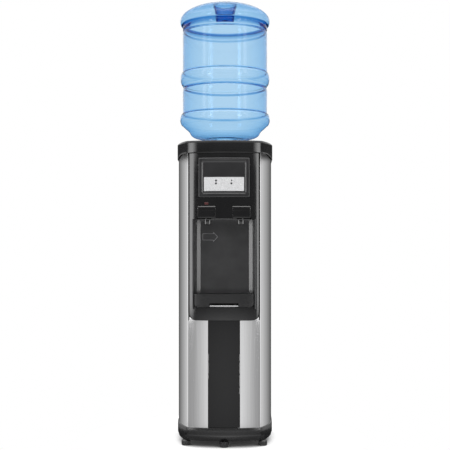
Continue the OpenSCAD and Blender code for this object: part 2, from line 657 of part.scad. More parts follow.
module tank_insulation() color([0.92, 0.92, 0.9]) for (s = [0, 1]) mirror([s, 0, 0]) at(0, bottle_depth, 0)
  intersection() {
    translate([0, 0, cold_z - 6]) difference() {
      cylinder(r = foam_out, h = cold_h + 10);
      translate([0, 0, 5.5]) cylinder(r = foam_in, h = cold_h + 50);
      for (p = [[0, hot_depth], cold_outlet, [-cold_outlet[0], cold_outlet[1]]])
        translate([p[0], p[1] - bottle_depth, -1]) cylinder(r = 2 * hose_r, h = 10);
    }
    translate([0.3, -200, 0]) cube([300, 400, cabinet_h]);
  }
shelf_half = body_w / 2 - 23.5;
module tank_shelf() color(steel) difference() {
  block(-shelf_half, shelf_half, 52, rear_in - 0.5, shelf_z, shelf_z + plate_t);
  for (p = [[0, hot_depth], cold_outlet]) at(p[0], p[1], shelf_z - 1) cylinder(r = 2 * hose_r, h = 10);
}

// ---- hot side ----
hose_r = 4;
hot_out_x = -30;                             // the hot tank's outlet, beside its inlet in the middle
hot_run_d = 125;
nipple_l = 8;
hot_nipple_z = hot_z + hot_h + nipple_l + 0.2;
module hot_tank() color(steel) at(0, hot_depth, hot_z) difference() {
  union() {
    cylinder(r = hot_r, h = hot_h);
    for (x = [0, hot_out_x]) translate([x, 0, hot_h - 1]) cylinder(r = 5, h = nipple_l + 1);
    translate([0, 0, -10]) cylinder(r = 5, h = 11);
  }
  translate([0, 0, 1]) cylinder(r = hot_r - 1, h = hot_h - 2);
}
module band_heater() color([0.55, 0.5, 0.42]) at(0, hot_depth, hot_z + 20)
  tube(hot_r + 4.3, hot_r + 0.3, 34);
module hot_tank_cover() color([0.9, 0.9, 0.88]) at(0, hot_depth, hot_z - 6) difference() {
  cylinder(r = hot_r + 18, h = hot_h);
  translate([0, 0, 5]) cylinder(r = hot_r + 6, h = hot_h);
  translate([0, 0, -1]) cylinder(r = 7, h = 10);
}
module thermostats() color(black) for (a = [40, 100])
  at(28 * cos(a), hot_depth + 28 * sin(a), hot_z + hot_h + 0.2) union() {
    cylinder(r = 8, h = 6);
    translate([0, 0, 5.9]) cylinder(r = 5, h = 5);
  }
module cold_hose() color([0.9, 0.9, 0.92])
  hose([[tap_x, barb_d + 0.2, valve_z], [tap_x, cold_outlet[1], valve_z],
    [cold_outlet[0], cold_outlet[1], valve_z], [cold_outlet[0], cold_outlet[1], cold_z - 0.2]], hose_r);
module hot_hoses() color([0.85, 0.6, 0.5]) {
  hose([[-tap_x, barb_d + 0.2, valve_z], [-tap_x, hot_run_d, valve_z], [hot_out_x, hot_run_d, valve_z],
    [hot_out_x, hot_depth, valve_z], [hot_out_x, hot_depth, hot_nipple_z]], hose_r);
  // from the cold tank down to the hot tank
  hose([[0, hot_depth, cold_z - 0.2], [0, hot_depth, hot_nipple_z]], hose_r);
}
module drain_pipe() color([0.9, 0.9, 0.92]) union() {
  hose([[0, hot_depth, hot_z - 10.2], [0, hot_depth, drain_z], [services_x, hot_depth, drain_z],
    [services_x, rear_out - 4, drain_z]], hose_r);
  at(services_x, rear_out, drain_z) rod_y(7, -5, 8);
}
module drain_cap() color(black) at(services_x, rear_out, drain_z) difference() {
  rod_y(10.5, 0.6, 14);
  rod_y(7.06, 0, 9);
}

// ---- refrigeration ----
seam_z = comp_h / 2;
module compressor() color([0.12, 0.12, 0.13]) union() {
  at(comp_x, comp_depth, comp_z) rotate_extrude() polygon(concat(
    [[0, 0], [comp_r - 12, 0]], arc([comp_r - 14, 16], 14, -80, 0, 5, 0),
    [[comp_r, seam_z], [comp_r + 2, seam_z], [comp_r + 2, seam_z + 4], [comp_r, seam_z + 4]],
    [for (a = [0:10:90]) [comp_r * cos(a), comp_h * 0.62 + comp_h * 0.38 * sin(a)]]));
  difference() {
    block(comp_x - 56, comp_x + 56, comp_depth - 56, comp_depth + 56, comp_z - 2.4, comp_z + 0.6);
    for (p = comp_bolts) at(comp_x + p[0], comp_depth + p[1], comp_z - 5) cylinder(r = grommet_r, h = 10);
  }
}
module compressor_grommets() color([0.05, 0.05, 0.05]) for (p = comp_bolts)
  at(comp_x + p[0], comp_depth + p[1], pan_z + plate_t + 0.1) rotate_extrude() polygon([
    [3.2, 0], [9, 0], [9, comp_z - pan_z - plate_t - 2.8], [4.8, comp_z - pan_z - plate_t - 2.8],
    [4.8, comp_z - pan_z - plate_t + 1.2], [8, comp_z - pan_z - plate_t + 1.2],
    [8, comp_z - pan_z - plate_t + 3], [3.2, comp_z - pan_z - plate_t + 3]]);
module compressor_bolts() color(steel) for (p = comp_bolts)
  at(comp_x + p[0], comp_depth + p[1], 0) union() {
    translate([0, 0, pan_z - 1.5]) cylinder(r = 3, h = comp_z + 6 - pan_z);
    translate([0, 0, comp_z + 3.5]) cylinder(r = 5.5, h = 4, $fn = 6);
    translate([0, 0, pan_z - 3]) cylinder(r = 6.5, h = 2.6);
  }
module start_relay() color([0.2, 0.2, 0.2])
  block(comp_x + comp_r + 3, comp_x + comp_r + 24, comp_depth - 18, comp_depth + 18,
    comp_z + 36, comp_z + 84);
bend_r = cond_pitch / 2;
module condenser_tube() color(black) {
  for (k = [0:cond_runs - 1]) at(0, cond_depth, cond_z0 + k * cond_pitch) rod_x(cond_r, cond_x0, cond_x1);
  for (k = [0:cond_runs - 2]) let (even = k % 2 == 0)
    at(even ? cond_x1 : cond_x0, cond_depth, cond_z0 + (k + 0.5) * cond_pitch)
      rotate([90, even ? 90 : -90, 0]) rotate_extrude(angle = 180)
        translate([bend_r, 0]) circle(r = cond_r);
}
wire_r = 0.7;
wire_count = 19;
module condenser_wires() color(black) for (k = [0:wire_count - 1], s = [-1, 1])
  at(cond_x0 + 8 + k * (cond_x1 - cond_x0 - 16) / (wire_count - 1),
    cond_depth + s * (cond_r + wire_r + 0.05), cond_z0 - 8)
      cylinder(r = wire_r, h = (cond_runs - 1) * cond_pitch + 16, $fn = 16);
strap_z = [cond_z0 + 3.5 * cond_pitch, cond_z0 + (cond_runs - 1.5) * cond_pitch];
strap_d = cond_depth + cond_r + 0.2;
module condenser_straps() color(black) for (x = [cond_x0 + 2, cond_x1 - 2]) union() {
  block(x - 3, x + 3, strap_d, strap_d + strap_t, strap_z[0] - 8, strap_z[1] + 8);
  for (z = strap_z) block(x - 3, x + 3, rear_out + 0.1, strap_d + 0.8, z - 3, z + 3);
}
module filter_drier() color(copper) at(78, 262, 100) rotate_extrude() polygon([
  [0, -14], [2.5, -14], [2.5, -4], [9, 4], [9, 70], [2.5, 78], [2.5, 88], [0, 88]]);

// ---- electrics ----
module power_inlet() color(black) at(services_x, rear_out, inlet_z) union() {
  difference() {
    translate([-15.5, -14, -11.5]) cube([31, 14.2, 23]);
    translate([-12.5, -10, -8.5]) cube([25, 20, 17]);
  }
  difference() {
    translate([-24, 0.1, -15]) cube([48, 2, 30]);
    translate([-12.5, -10, -8.5]) cube([25, 20, 17]);
  }
  for (p = [[-7, -2], [0, 3], [7, -2]]) translate([p[0] - 1, -10.5, p[1] - 2]) cube([2, 8, 4]);
}
rocker_half = 10;
pivot_r = 1.5;                               // a rocker's pivots, their length and depth in the plate
pivot_l = 2;
pivot_in = 5;
rocker_l = 10.3;
rocker_z = [-14, 14];
module switch_plate() color(dark) at(services_x, rear_out, switch_z) difference() {
  union() {
    translate([-18, 0.1, -34]) cube([36, 2, 68]);
    translate([-13.5, -16, -29.5]) cube([27, 16.2, 59]);
  }
  for (z = rocker_z) {
    translate([-rocker_half - 0.5, -12, z - rocker_l - 2.5])
      cube([2 * rocker_half + 1, 20, 2 * rocker_l + 5]);
    translate([0, -pivot_in, z])
      rod_x(pivot_r + run_gap, -rocker_half - pivot_l - 0.4, rocker_half + pivot_l + 0.4);
  }
}
module rocker(z) at(services_x, rear_out - pivot_in, switch_z + z) {
  rotate([0, 90, 0]) translate([0, 0, -rocker_half]) linear_extrude(2 * rocker_half)
    polygon([[-rocker_l, 0], [rocker_l, 0], [rocker_l, 5.5], [0, 7], [-rocker_l, 9.5]]);
  rod_x(pivot_r, -rocker_half - pivot_l, rocker_half + pivot_l);
}
module hot_switch() color([0.6, 0.1, 0.1]) rocker(rocker_z[1]);
module cold_switch() color([0.1, 0.4, 0.2]) rocker(rocker_z[0]);

base_plinth();
base_pan();
corner_feet();
side_panel_left();
side_panel_right();
rear_panel();
rear_screws();
top_cap();
bottle_seat();
seat_gasket();
seat_probe();
front_fascia();
lower_strip();
alcove_liner();
arrow_badge();
control_bezel();
control_label();
indicator_leds();
control_board();
hot_tap_body();
cold_tap_body();
paddle_pins();
tap_springs();
cold_tank();
tank_baffle();
evaporator_coil();
tank_insulation();
tank_shelf();
hot_tank();
band_heater();
hot_tank_cover();
thermostats();
cold_hose();
hot_hoses();
drain_pipe();
compressor();
compressor_grommets();
compressor_bolts();
start_relay();
condenser_tube();
condenser_wires();
condenser_straps();
filter_drier();
power_inlet();
switch_plate();
bottle();
bottle_base();
bottle_cap();
drip_tray();
tray_grip();
drip_grille();
hot_paddle();
cold_paddle();
hot_stem();
cold_stem();
child_lock_button();
hot_switch();
cold_switch();
drain_cap();
levelling_foot();
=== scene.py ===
"""Floor-standing water dispenser with its inverted bottle: the looks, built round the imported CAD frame."""

import math

import bmesh
import bpy
import numpy as np
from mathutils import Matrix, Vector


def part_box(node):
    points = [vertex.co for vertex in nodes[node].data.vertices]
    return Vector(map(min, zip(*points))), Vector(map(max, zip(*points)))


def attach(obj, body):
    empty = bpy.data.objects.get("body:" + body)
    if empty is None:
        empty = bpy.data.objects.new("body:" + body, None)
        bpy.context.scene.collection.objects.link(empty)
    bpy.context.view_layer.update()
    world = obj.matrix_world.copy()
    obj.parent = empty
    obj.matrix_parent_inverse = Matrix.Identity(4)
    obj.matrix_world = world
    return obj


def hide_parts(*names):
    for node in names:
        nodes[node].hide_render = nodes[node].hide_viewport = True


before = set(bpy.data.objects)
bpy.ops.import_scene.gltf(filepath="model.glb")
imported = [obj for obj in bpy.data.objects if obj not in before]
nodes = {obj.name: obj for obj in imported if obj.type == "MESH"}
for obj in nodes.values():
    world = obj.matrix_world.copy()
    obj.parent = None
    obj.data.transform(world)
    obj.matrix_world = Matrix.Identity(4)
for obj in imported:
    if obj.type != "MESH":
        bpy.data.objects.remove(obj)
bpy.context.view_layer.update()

# ---------------------------------------------------------------------------------------------------------
# Camera: eye level with the middle of the alcove, a little to the right of the middle, looking level.
# The upward shift brings the bottle and the feet into the frame without tilting the view.
EYE_DISTANCE = 2.75
EYE_HEIGHT = 0.570
EYE_TURN = math.radians(1.15)
front_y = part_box("top_cap")[0].y
axis_y = sum(corner.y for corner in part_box("bottle_seat")) / 2
eye_reach = EYE_DISTANCE + axis_y - front_y
eye = bpy.data.objects.new("eye", bpy.data.cameras.new("eye"))
eye.location = (eye_reach * math.sin(EYE_TURN), axis_y - eye_reach * math.cos(EYE_TURN), EYE_HEIGHT)
eye.rotation_euler = (math.pi / 2, 0.0, EYE_TURN)
eye.data.lens = 77.4
eye.data.sensor_width = 36.0
eye.data.shift_y = 0.0511
bpy.context.scene.collection.objects.link(eye)
bpy.context.scene.camera = eye
bpy.context.scene.view_settings.view_transform = "Standard"


# ---------------------------------------------------------------------------------------------------------
# Studio: a pale sweep of floor under an even white sky. Glossy surfaces see a darker room instead of the
# sky, with tall soft boxes at the front corners, so that black plastic and steel read as in a product studio.
def node_tree(owner):
    """An empty node tree on a material or world, with a short way to add and join nodes."""
    owner.use_nodes = True
    tree = owner.node_tree
    tree.nodes.clear()

    def add(kind, inputs=None, **settings):
        node = tree.nodes.new(kind)
        for key, value in settings.items():
            setattr(node, key, value)
        for key, value in (inputs or {}).items():
            if isinstance(value, bpy.types.NodeSocket):
                tree.links.new(value, node.inputs[key])
            else:
                node.inputs[key].default_value = value
        return node

    return add


def ramp(add, fac, stops):
    """A colour ramp with stops given as (place, grey or colour)."""
    node = add("ShaderNodeValToRGB", {"Fac": fac})
    marks = node.color_ramp.elements
    while len(marks) < len(stops):
        marks.new(0.5)
    for mark, (place, tone) in zip(marks, stops):
        mark.position = place
        mark.color = (*tone, 1.0) if isinstance(tone, tuple) else (tone, tone, tone, 1.0)
    return node.outputs["Color"]


def over(add, value, start, stop):
    """0 below start, 1 above stop, smooth between them."""
    return add("ShaderNodeMapRange", {"Value": value, "From Min": start, "From Max": stop},
               interpolation_type="SMOOTHSTEP").outputs["Result"]


def blend(add, fac, first, second):
    """A mix of two colours."""
    node = add("ShaderNodeMix", {"Factor": fac}, data_type="RGBA")
    for socket, value in ((node.inputs[6], first), (node.inputs[7], second)):
        socket.id_data.links.new(value, socket)
    return node.outputs[2]


sky = bpy.data.worlds.new("studio")
bpy.context.scene.world = sky
add = node_tree(sky)
where = add("ShaderNodeSeparateXYZ", {0: add("ShaderNodeTexCoord").outputs["Generated"]})
side = add("ShaderNodeMath", {0: where.outputs["X"]}, operation="ABSOLUTE").outputs[0]
back = add("ShaderNodeMath", {0: where.outputs["Y"], 1: -1.0}, operation="MULTIPLY").outputs[0]
bearing = add("ShaderNodeMath", {0: side, 1: back}, operation="ARCTAN2").outputs[0]
around = add("ShaderNodeMath", {0: bearing, 1: math.pi}, operation="DIVIDE").outputs[0]
rise = where.outputs["Z"]


def room(*stops):
    """The room's tone by bearing: stops of (degrees from the front, tone), tones over 1 scaled down by 12."""
    return ramp(add, around, [(angle / 180, tone / 12) for angle, tone in stops])


far_side = ((56, 1.5), (64, 1.2), (78, 0.85), (126, 0.8), (148, 0.36), (164, 0.12), (180, 0.05))
low = room((0, 1.18), (9, 1.12), (20, 0.95), (34, 0.5), (46, 0.45), *far_side)
under = room((0, 0.5), (30, 0.4), (46, 0.2), (62, 0.05), (180, 0.02))
floor_glow = room((0, 1.4), (60, 0.7), (100, 0.2), (180, 0.1))
level = room((0, 0.08), (33.2, 0.09), (34.2, 5.5), (42, 5.5), (44, 0.2), *far_side)
cap_level = room((0, 0.08), (30, 0.09), (35.0, 5.2), (37.5, 5.2), (43, 0.2), (62, 0.08), (180, 0.03))
high = room((0, 0.9), (50, 0.9), (54, 3.0), (59, 3.0), (64, 0.9), (100, 1.0), (150, 1.0), (180, 1.0))
above = room((0, 4.0), (180, 2.5))
tone = blend(add, over(add, rise, -0.60, -0.45), floor_glow, under)
tone = blend(add, over(add, rise, -0.186, -0.182), tone, low)
tone = blend(add, over(add, rise, -0.0700, -0.0675), tone, level)
tone = blend(add, over(add, rise, 0.088, 0.094), tone, cap_level)
tone = blend(add, over(add, rise, 0.112, 0.125), tone, high)
tone = blend(add, over(add, rise, 0.46, 0.60), tone, above)
rays = add("ShaderNodeLightPath")
through_glass = add("ShaderNodeMath", {0: rays.outputs["Is Transmission Ray"],
                                       1: rays.outputs["Transmission Depth"]}, operation="ADD").outputs[0]
mirrored = add("ShaderNodeMath", {0: rays.outputs["Is Glossy Ray"], 1: through_glass},
               operation="SUBTRACT", use_clamp=True).outputs[0]
dim = add("ShaderNodeBackground", {"Color": tone, "Strength": 12.0})
white = add("ShaderNodeBackground", {"Color": (1.0, 1.0, 1.0, 1.0), "Strength": 1.0})
both = add("ShaderNodeMixShader", {0: mirrored, 1: white.outputs[0], 2: dim.outputs[0]})
add("ShaderNodeOutputWorld", {"Surface": both.outputs[0]})


def soft_box(name, place, aim, size, power):
    """A rectangular area light at place, turned to face aim."""
    lamp = bpy.data.lights.new(name, "AREA")
    lamp.shape = "RECTANGLE"
    lamp.size, lamp.size_y = size
    lamp.energy = power
    holder = bpy.data.objects.new(name, lamp)
    holder.location = place
    way = np.array(aim) - np.array(place)
    tilt = math.acos(-way[2] / np.linalg.norm(way))
    holder.rotation_euler = (tilt, 0.0, math.atan2(way[1], way[0]) - math.pi / 2)
    holder.visible_glossy = False
    bpy.context.scene.collection.objects.link(holder)


for hand in (-1, 1):
    soft_box(f"front_box_{hand + 1}", (hand * 1.55, -1.85, 0.95), (0.0, 0.0, 0.65), (0.35, 2.2), 7)
soft_box("top_box", (0.0, -0.5, 2.6), (0.0, 0.0, 0.6), (1.6, 1.6), 16)

FLOOR_R, FLOOR_SIDES = 0.42, 96
turn_round = np.linspace(0, 2 * np.pi, FLOOR_SIDES, endpoint=False)
floor_rim = np.stack([FLOOR_R * np.cos(turn_round), FLOOR_R * np.sin(turn_round), 0 * turn_round], axis=1)
floor_mesh = bpy.data.meshes.new("studio_floor")
floor_mesh.from_pydata(floor_rim.tolist(), [], [list(range(FLOOR_SIDES))])
floor = bpy.data.objects.new("studio_floor", floor_mesh)
bpy.context.scene.collection.objects.link(floor)
# The floor glows by emission, and ambient occlusion dims that glow near the cabinet: painted light, with a
# painted shadow under the base.
paper = bpy.data.materials.new("pale_paper")
add = node_tree(paper)
open_sky = add("ShaderNodeAmbientOcclusion", {"Distance": 0.10}, samples=16).outputs["AO"]
painted_floor_glow = ramp(add, open_sky, [(0.2, 0.02), (0.62, 0.74)])
shade = add("ShaderNodeBsdfPrincipled", {"Base Color": (0.30, 0.30, 0.30, 1.0), "Roughness": 0.9,
                                         "Emission Color": (1.0, 1.0, 1.0, 1.0), "Emission Strength": painted_floor_glow})
add("ShaderNodeOutputMaterial", {"Surface": shade.outputs[0]})
floor.data.materials.append(paper)
floor.visible_glossy = False


# ---------------------------------------------------------------------------------------------------------
# Black ABS mouldings: the cap, front, bezel, paddles and centre strip. Injection moulded and left glossy,
# with a faint flow mottle in the gloss.
def plastic(name, tone, rough, grain=0.0, grain_size=0.0006, coat=0.0, shine=0.6):
    """Moulded plastic: a slow mottle in tone and gloss, and a fine sparked grain as bump."""
    made = bpy.data.materials.new(name)
    add = node_tree(made)
    spot = add("ShaderNodeTexCoord").outputs["Object"]
    cloud = add("ShaderNodeTexNoise", {"Vector": spot, "Scale": 18.0, "Detail": 4.0}).outputs["Fac"]
    low, high = [tuple(c * f for c in tone) for f in (0.88, 1.14)]
    colour = ramp(add, cloud, [(0.3, low), (0.7, high)])
    gloss = ramp(add, cloud, [(0.3, rough * 0.92), (0.7, rough * 1.1)])
    grain_scale = 1.0 / grain_size
    fine = add("ShaderNodeTexNoise", {"Vector": spot, "Scale": grain_scale, "Detail": 2.0}).outputs["Fac"]
    bump = add("ShaderNodeBump", {"Height": fine, "Strength": grain, "Distance": 0.0002})
    shade = add("ShaderNodeBsdfPrincipled", {"Base Color": colour, "Roughness": gloss, "Coat Weight": coat,
                                             "Coat Roughness": 0.08, "Specular IOR Level": shine,
                                             "Normal": bump.outputs[0]})
    add("ShaderNodeOutputMaterial", {"Surface": shade.outputs[0]})
    return made


gloss_black = plastic("gloss_black_abs", (0.009, 0.009, 0.0095), 0.07, grain=0.01)
satin_black = plastic("satin_black_abs", (0.022, 0.022, 0.023), 0.10, grain=0.03)
matt_black = plastic("matt_black_abs", (0.010, 0.010, 0.0105), 0.22, grain=0.1)
lining_black = plastic("lining_black_abs", (0.072, 0.072, 0.074), 0.14, grain=0.05)


def finish(piece, body, cad_nodes, material):
    """Gives a finished piece its material and body, and hides the CAD nodes that it stands for."""
    piece.data.materials.clear()
    piece.data.materials.append(material)
    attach(piece, body)
    if cad_nodes:
        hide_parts(*cad_nodes)
    return piece


def bench_copy(node, radius, segments=2, pierced=False):
    """A merged copy of a CAD node whose sharp edges are rounded to radius, shaded smooth up to 30 degrees.

    Its coplanar triangles are joined, but not on a pierced plate, where they would run round the slots. That is
    shaded flat."""
    shape = nodes[node].data.copy()
    work = bmesh.new()
    work.from_mesh(shape)
    bmesh.ops.remove_doubles(work, verts=work.verts, dist=1e-6)
    if not pierced:
        bmesh.ops.dissolve_limit(work, angle_limit=math.radians(0.3), verts=work.verts, edges=work.edges)
    for face in work.faces:
        face.smooth = not pierced
    for edge in work.edges:
        edge.smooth = len(edge.link_faces) == 2 and edge.calc_face_angle(0.0) < math.radians(30)
    work.to_mesh(shape)
    work.free()
    shape.materials.clear()
    piece = bpy.data.objects.new(node + "_finished", shape)
    bpy.context.scene.collection.objects.link(piece)
    if radius:
        round_over = piece.modifiers.new("round_over", "BEVEL")
        round_over.width = radius
        round_over.segments = segments
        round_over.limit_method = "ANGLE"
        round_over.angle_limit = math.radians(32)
        round_over.miter_outer = "MITER_ARC"
        round_over.harden_normals = not pierced
    return piece


# ---------------------------------------------------------------------------------------------------------
# Top cap: a one-piece black ABS moulding with a soft top edge, pressed down over the side panels.
# Its skirt follows the bowed plan of the cabinet and reaches lower at the sides and back.
FRONT_BOW_R, SIDE_BOW_R, CORNER_R, REAR_CORNER_R = 0.328, 0.280, 0.012, 0.014
cap_low, cap_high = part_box("top_cap")
half_w = cap_high.x
cap_depth = cap_high.y - cap_low.y
widest_y = axis_y


def turn(centre, radius, start, stop, count):
    """Points on an arc: centre plus radius times (cos, sin) of angles that run evenly from start to stop."""
    angle = np.linspace(start, stop, count)
    return np.stack([centre[0] + radius * np.cos(angle), centre[1] + radius * np.sin(angle)], axis=1)


def plan_line(inset):
    """The cabinet's plan, set in by inset: a front bow, two tight corners and two bowed sides, tangent
    to each other, then straight sides and rounded rear corners. It runs anticlockwise from the front."""
    rf, rs = FRONT_BOW_R - inset, SIDE_BOW_R - inset
    rc, rr = max(CORNER_R - inset, 0.002), max(REAR_CORNER_R - inset, 0.002)
    f, s = np.array([0.0, front_y + FRONT_BOW_R]), np.array([half_w - SIDE_BOW_R, widest_y])
    gap = np.linalg.norm(s - f)
    along = ((rf - rc) ** 2 - (rs - rc) ** 2 + gap ** 2) / (2 * gap)
    off = math.sqrt((rf - rc) ** 2 - along ** 2)
    unit = (s - f) / gap
    c = f + along * unit + off * np.array([-unit[1], unit[0]])
    at_front, at_side = math.atan2(*(c - f)[::-1]), math.atan2(*(c - s)[::-1])
    k = np.array([half_w - inset - rr, front_y + cap_depth - inset - rr])
    right = np.concatenate([
        turn(f, rf, -math.pi / 2, at_front, 26), turn(c, rc, at_front, at_side, 9)[1:],
        turn(s, rs, at_side, 0.0, 22)[1:], turn(k, rr, 0.0, math.pi / 2, 9),
        np.stack([np.linspace(k[0], 0.0, 8)[1:], np.full(7, k[1] + rr)], axis=1)])
    left = right[::-1][1:-1] * np.array([-1.0, 1.0])
    return np.concatenate([right, left])


def shaded(name, shape, smooth_angle):
    """An object from a mesh, faces turned outward, smooth but for edges over smooth_angle degrees."""
    work = bmesh.new()
    work.from_mesh(shape)
    bmesh.ops.remove_doubles(work, verts=work.verts, dist=1e-6)
    bmesh.ops.recalc_face_normals(work, faces=work.faces)
    for face in work.faces:
        face.smooth = True
    for edge in work.edges:
        edge.smooth = edge.calc_face_angle(0.0) < math.radians(smooth_angle)
    work.to_mesh(shape)
    work.free()
    piece = bpy.data.objects.new(name, shape)
    bpy.context.scene.collection.objects.link(piece)
    return piece


def closed_grid(name, rings, smooth_angle=35):
    """A mesh from closed rings (array n, m, 3), faces joining each ring to the next, and last to first."""
    rings = np.asarray(rings, float)
    n, m, _ = rings.shape
    i, j = np.meshgrid(np.arange(n), np.arange(m), indexing="ij")
    i2, j2 = (i + 1) % n, (j + 1) % m
    quads = np.stack([i * m + j, i * m + j2, i2 * m + j2, i2 * m + j], axis=-1).reshape(-1, 4)
    shape = bpy.data.meshes.new(name)
    shape.from_pydata(rings.reshape(-1, 3).tolist(), [], quads.tolist())
    return shaded(name, shape, smooth_angle)


def ring_at(flat, z):
    """A plan line (m, 2) lifted to height z, a number or one value for each point."""
    return np.concatenate([flat, np.broadcast_to(np.reshape(z, (-1, 1)), (len(flat), 1))], axis=1)


def ease(value, start, stop):
    """Rises smoothly from 0 at start to 1 at stop."""
    share = np.clip((value - start) / (stop - start), 0.0, 1.0)
    return share * share * (3 - 2 * share)


cap_top = cap_high.z
skirt_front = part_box("front_fascia")[1].z + 0.0005
skirt_drop = skirt_front - cap_low.z
CAP_EDGE, CAP_WALL, CAP_HOLE = 0.0028, 0.003, 0.0795
outer_plan = plan_line(0.0)
skirt_z = skirt_front - skirt_drop * ease(outer_plan[:, 1] - front_y, 0.045, 0.125)
hole_angle = np.arctan2(outer_plan[:, 1] - widest_y, outer_plan[:, 0])
hole = np.stack([CAP_HOLE * np.cos(hole_angle), widest_y + CAP_HOLE * np.sin(hole_angle)], axis=1)
cap_roll = [(CAP_EDGE * (1 - math.sin(a)), cap_top - CAP_EDGE * (1 - math.cos(a)))
            for a in np.linspace(math.pi / 2, 0, 9)]
cap_rings = [ring_at(plan_line(CAP_WALL), cap_top - 0.006), ring_at(plan_line(CAP_WALL), skirt_z + 0.0008),
             ring_at(plan_line(CAP_WALL - 0.0008), skirt_z), ring_at(plan_line(0.0012), skirt_z),
             ring_at(plan_line(0.0003), skirt_z + 0.0004), ring_at(plan_line(0.0), skirt_z + 0.0014),
             ring_at(plan_line(0.0), skirt_z + 0.004), ring_at(plan_line(0.0), cap_top - CAP_EDGE - 0.004)]
cap_rings += [ring_at(plan_line(inset), z) for inset, z in cap_roll]
top_plan = plan_line(CAP_EDGE)
cap_rings += [ring_at(top_plan * (1 - t) + hole * t, cap_top) for t in (0.15, 0.5, 0.97, 1.0)]
cap_rings += [ring_at(hole, cap_top - 0.0024), ring_at(top_plan * 0.5 + hole * 0.5, cap_top - 0.003)]
finish(closed_grid("top_cap_moulding", cap_rings), "root", ["top_cap"], gloss_black)

# ---------------------------------------------------------------------------------------------------------
# Base: a black ABS tray that the side panels stand in, with an upright band above and a taper below it.
base_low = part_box("base_plinth")[0]
BASE_INSET, BASE_TAPER, BASE_TAPER_H, BASE_WALL = 0.001, 0.015, 0.017, 0.0024
taper_top = BASE_TAPER_H - 0.008 * ease(plan_line(BASE_INSET)[:, 1] - front_y, 0.02, 0.11)
base_rings = [ring_at(plan_line(inset), base_low.z + z) for inset, z in [
    (0.020, 0.0024), (BASE_WALL + BASE_INSET, 0.0196), (BASE_WALL + BASE_INSET, 0.0395),
    (BASE_WALL + 0.0006, 0.0400),
    (BASE_INSET + 0.0008, 0.0400), (BASE_INSET + 0.0002, 0.0397), (BASE_INSET, 0.0390)]]
base_rings += [ring_at(plan_line(BASE_INSET + more), base_low.z + taper_top + z) for more, z in [
    (0.0, 0.0015), (0.0004, 0.0004), (0.0014, -0.0010)]]
tucked = 1 - 0.75 * ease(plan_line(BASE_INSET)[:, 1:] - front_y, 0.016, 0.05)
base_rings += [ring_at(tucked * plan_line(BASE_INSET + BASE_TAPER + more)
                       + (1 - tucked) * plan_line(BASE_INSET + more), base_low.z + z) for more, z in [
    (-0.001, 0.0012), (0.0002, 0.0002), (0.002, 0.0)]]


def shrunk(flat, share):
    """A plan line drawn in towards its middle by share."""
    middle = np.array([0.0, flat[:, 1].mean()])
    return middle + (flat - middle) * (1 - share)


last = plan_line(BASE_INSET + BASE_TAPER + 0.002)
inside = plan_line(0.020)
base_rings += [ring_at(shrunk(last, s), base_low.z) for s in (0.3, 0.7, 0.999)]
base_rings += [ring_at(shrunk(inside, s), base_low.z + 0.0024) for s in (0.999, 0.7, 0.3)]
finish(closed_grid("base_moulding", base_rings), "root", ["base_plinth"], matt_black)


# ---------------------------------------------------------------------------------------------------------
# Side panels: stainless sheet, brushed upright, bent round the front corners and screwed down at the back.
def brushed(name, tone, rough, along="z", depth=0.35):
    """Brushed steel: noise stretched along the brushing, driving tone, roughness and a fine bump."""
    made = bpy.data.materials.new(name)
    add = node_tree(made)
    spot = add("ShaderNodeTexCoord").outputs["Object"]
    stretch = {"x": (6.0, 1800.0, 1800.0), "y": (1800.0, 6.0, 1800.0), "z": (1800.0, 1800.0, 6.0)}[along]
    lined = add("ShaderNodeMapping", {"Vector": spot, "Scale": stretch}).outputs[0]
    lines = add("ShaderNodeTexNoise", {"Vector": lined, "Scale": 1.0, "Detail": 3.0}).outputs["Fac"]
    slow = add("ShaderNodeTexNoise", {"Vector": spot, "Scale": 7.0, "Detail": 3.0}).outputs["Fac"]
    low, high = [tuple(c * f for c in tone) for f in (0.9, 1.06)]
    colour = ramp(add, lines, [(0.25, low), (0.75, high)])
    mixed = add("ShaderNodeMath", {0: lines, 1: slow}, operation="MULTIPLY").outputs[0]
    gloss = ramp(add, mixed, [(0.1, rough * 0.85), (0.5, rough * 1.2)])
    bump = add("ShaderNodeBump", {"Height": lines, "Strength": depth, "Distance": 0.00006})
    shade = add("ShaderNodeBsdfPrincipled", {"Base Color": colour, "Metallic": 1.0, "Roughness": gloss,
                                             "Normal": bump.outputs[0]})
    add("ShaderNodeOutputMaterial", {"Surface": shade.outputs[0]})
    return made


stainless = brushed("brushed_stainless", (0.66, 0.66, 0.665), 0.045, depth=0.16)
for hand in ("left", "right"):
    panel = f"side_panel_{hand}"
    finish(bench_copy(panel, 0.0004, 2), "root", [panel], stainless)

# ---------------------------------------------------------------------------------------------------------
# Front moulding and centre strip: gloss black ABS clipped to the steel from behind, with a strip of painted
# shadow in the gap at each side. A drip rib runs along the lower edge of the nose between the spouts.
finish(bench_copy("front_fascia", 0.0012, 3), "root", ["front_fascia"], gloss_black)
strip_black = plastic("strip_black_abs", (0.006, 0.006, 0.0065), 0.12, grain=0.01, shine=0.3)
finish(bench_copy("lower_strip", 0.0008, 2), "root", ["lower_strip"], strip_black)


def bow(x, inset):
    """The y of the bowed front at x, set in by inset."""
    return front_y + FRONT_BOW_R - np.sqrt((FRONT_BOW_R - inset) ** 2 - x ** 2)


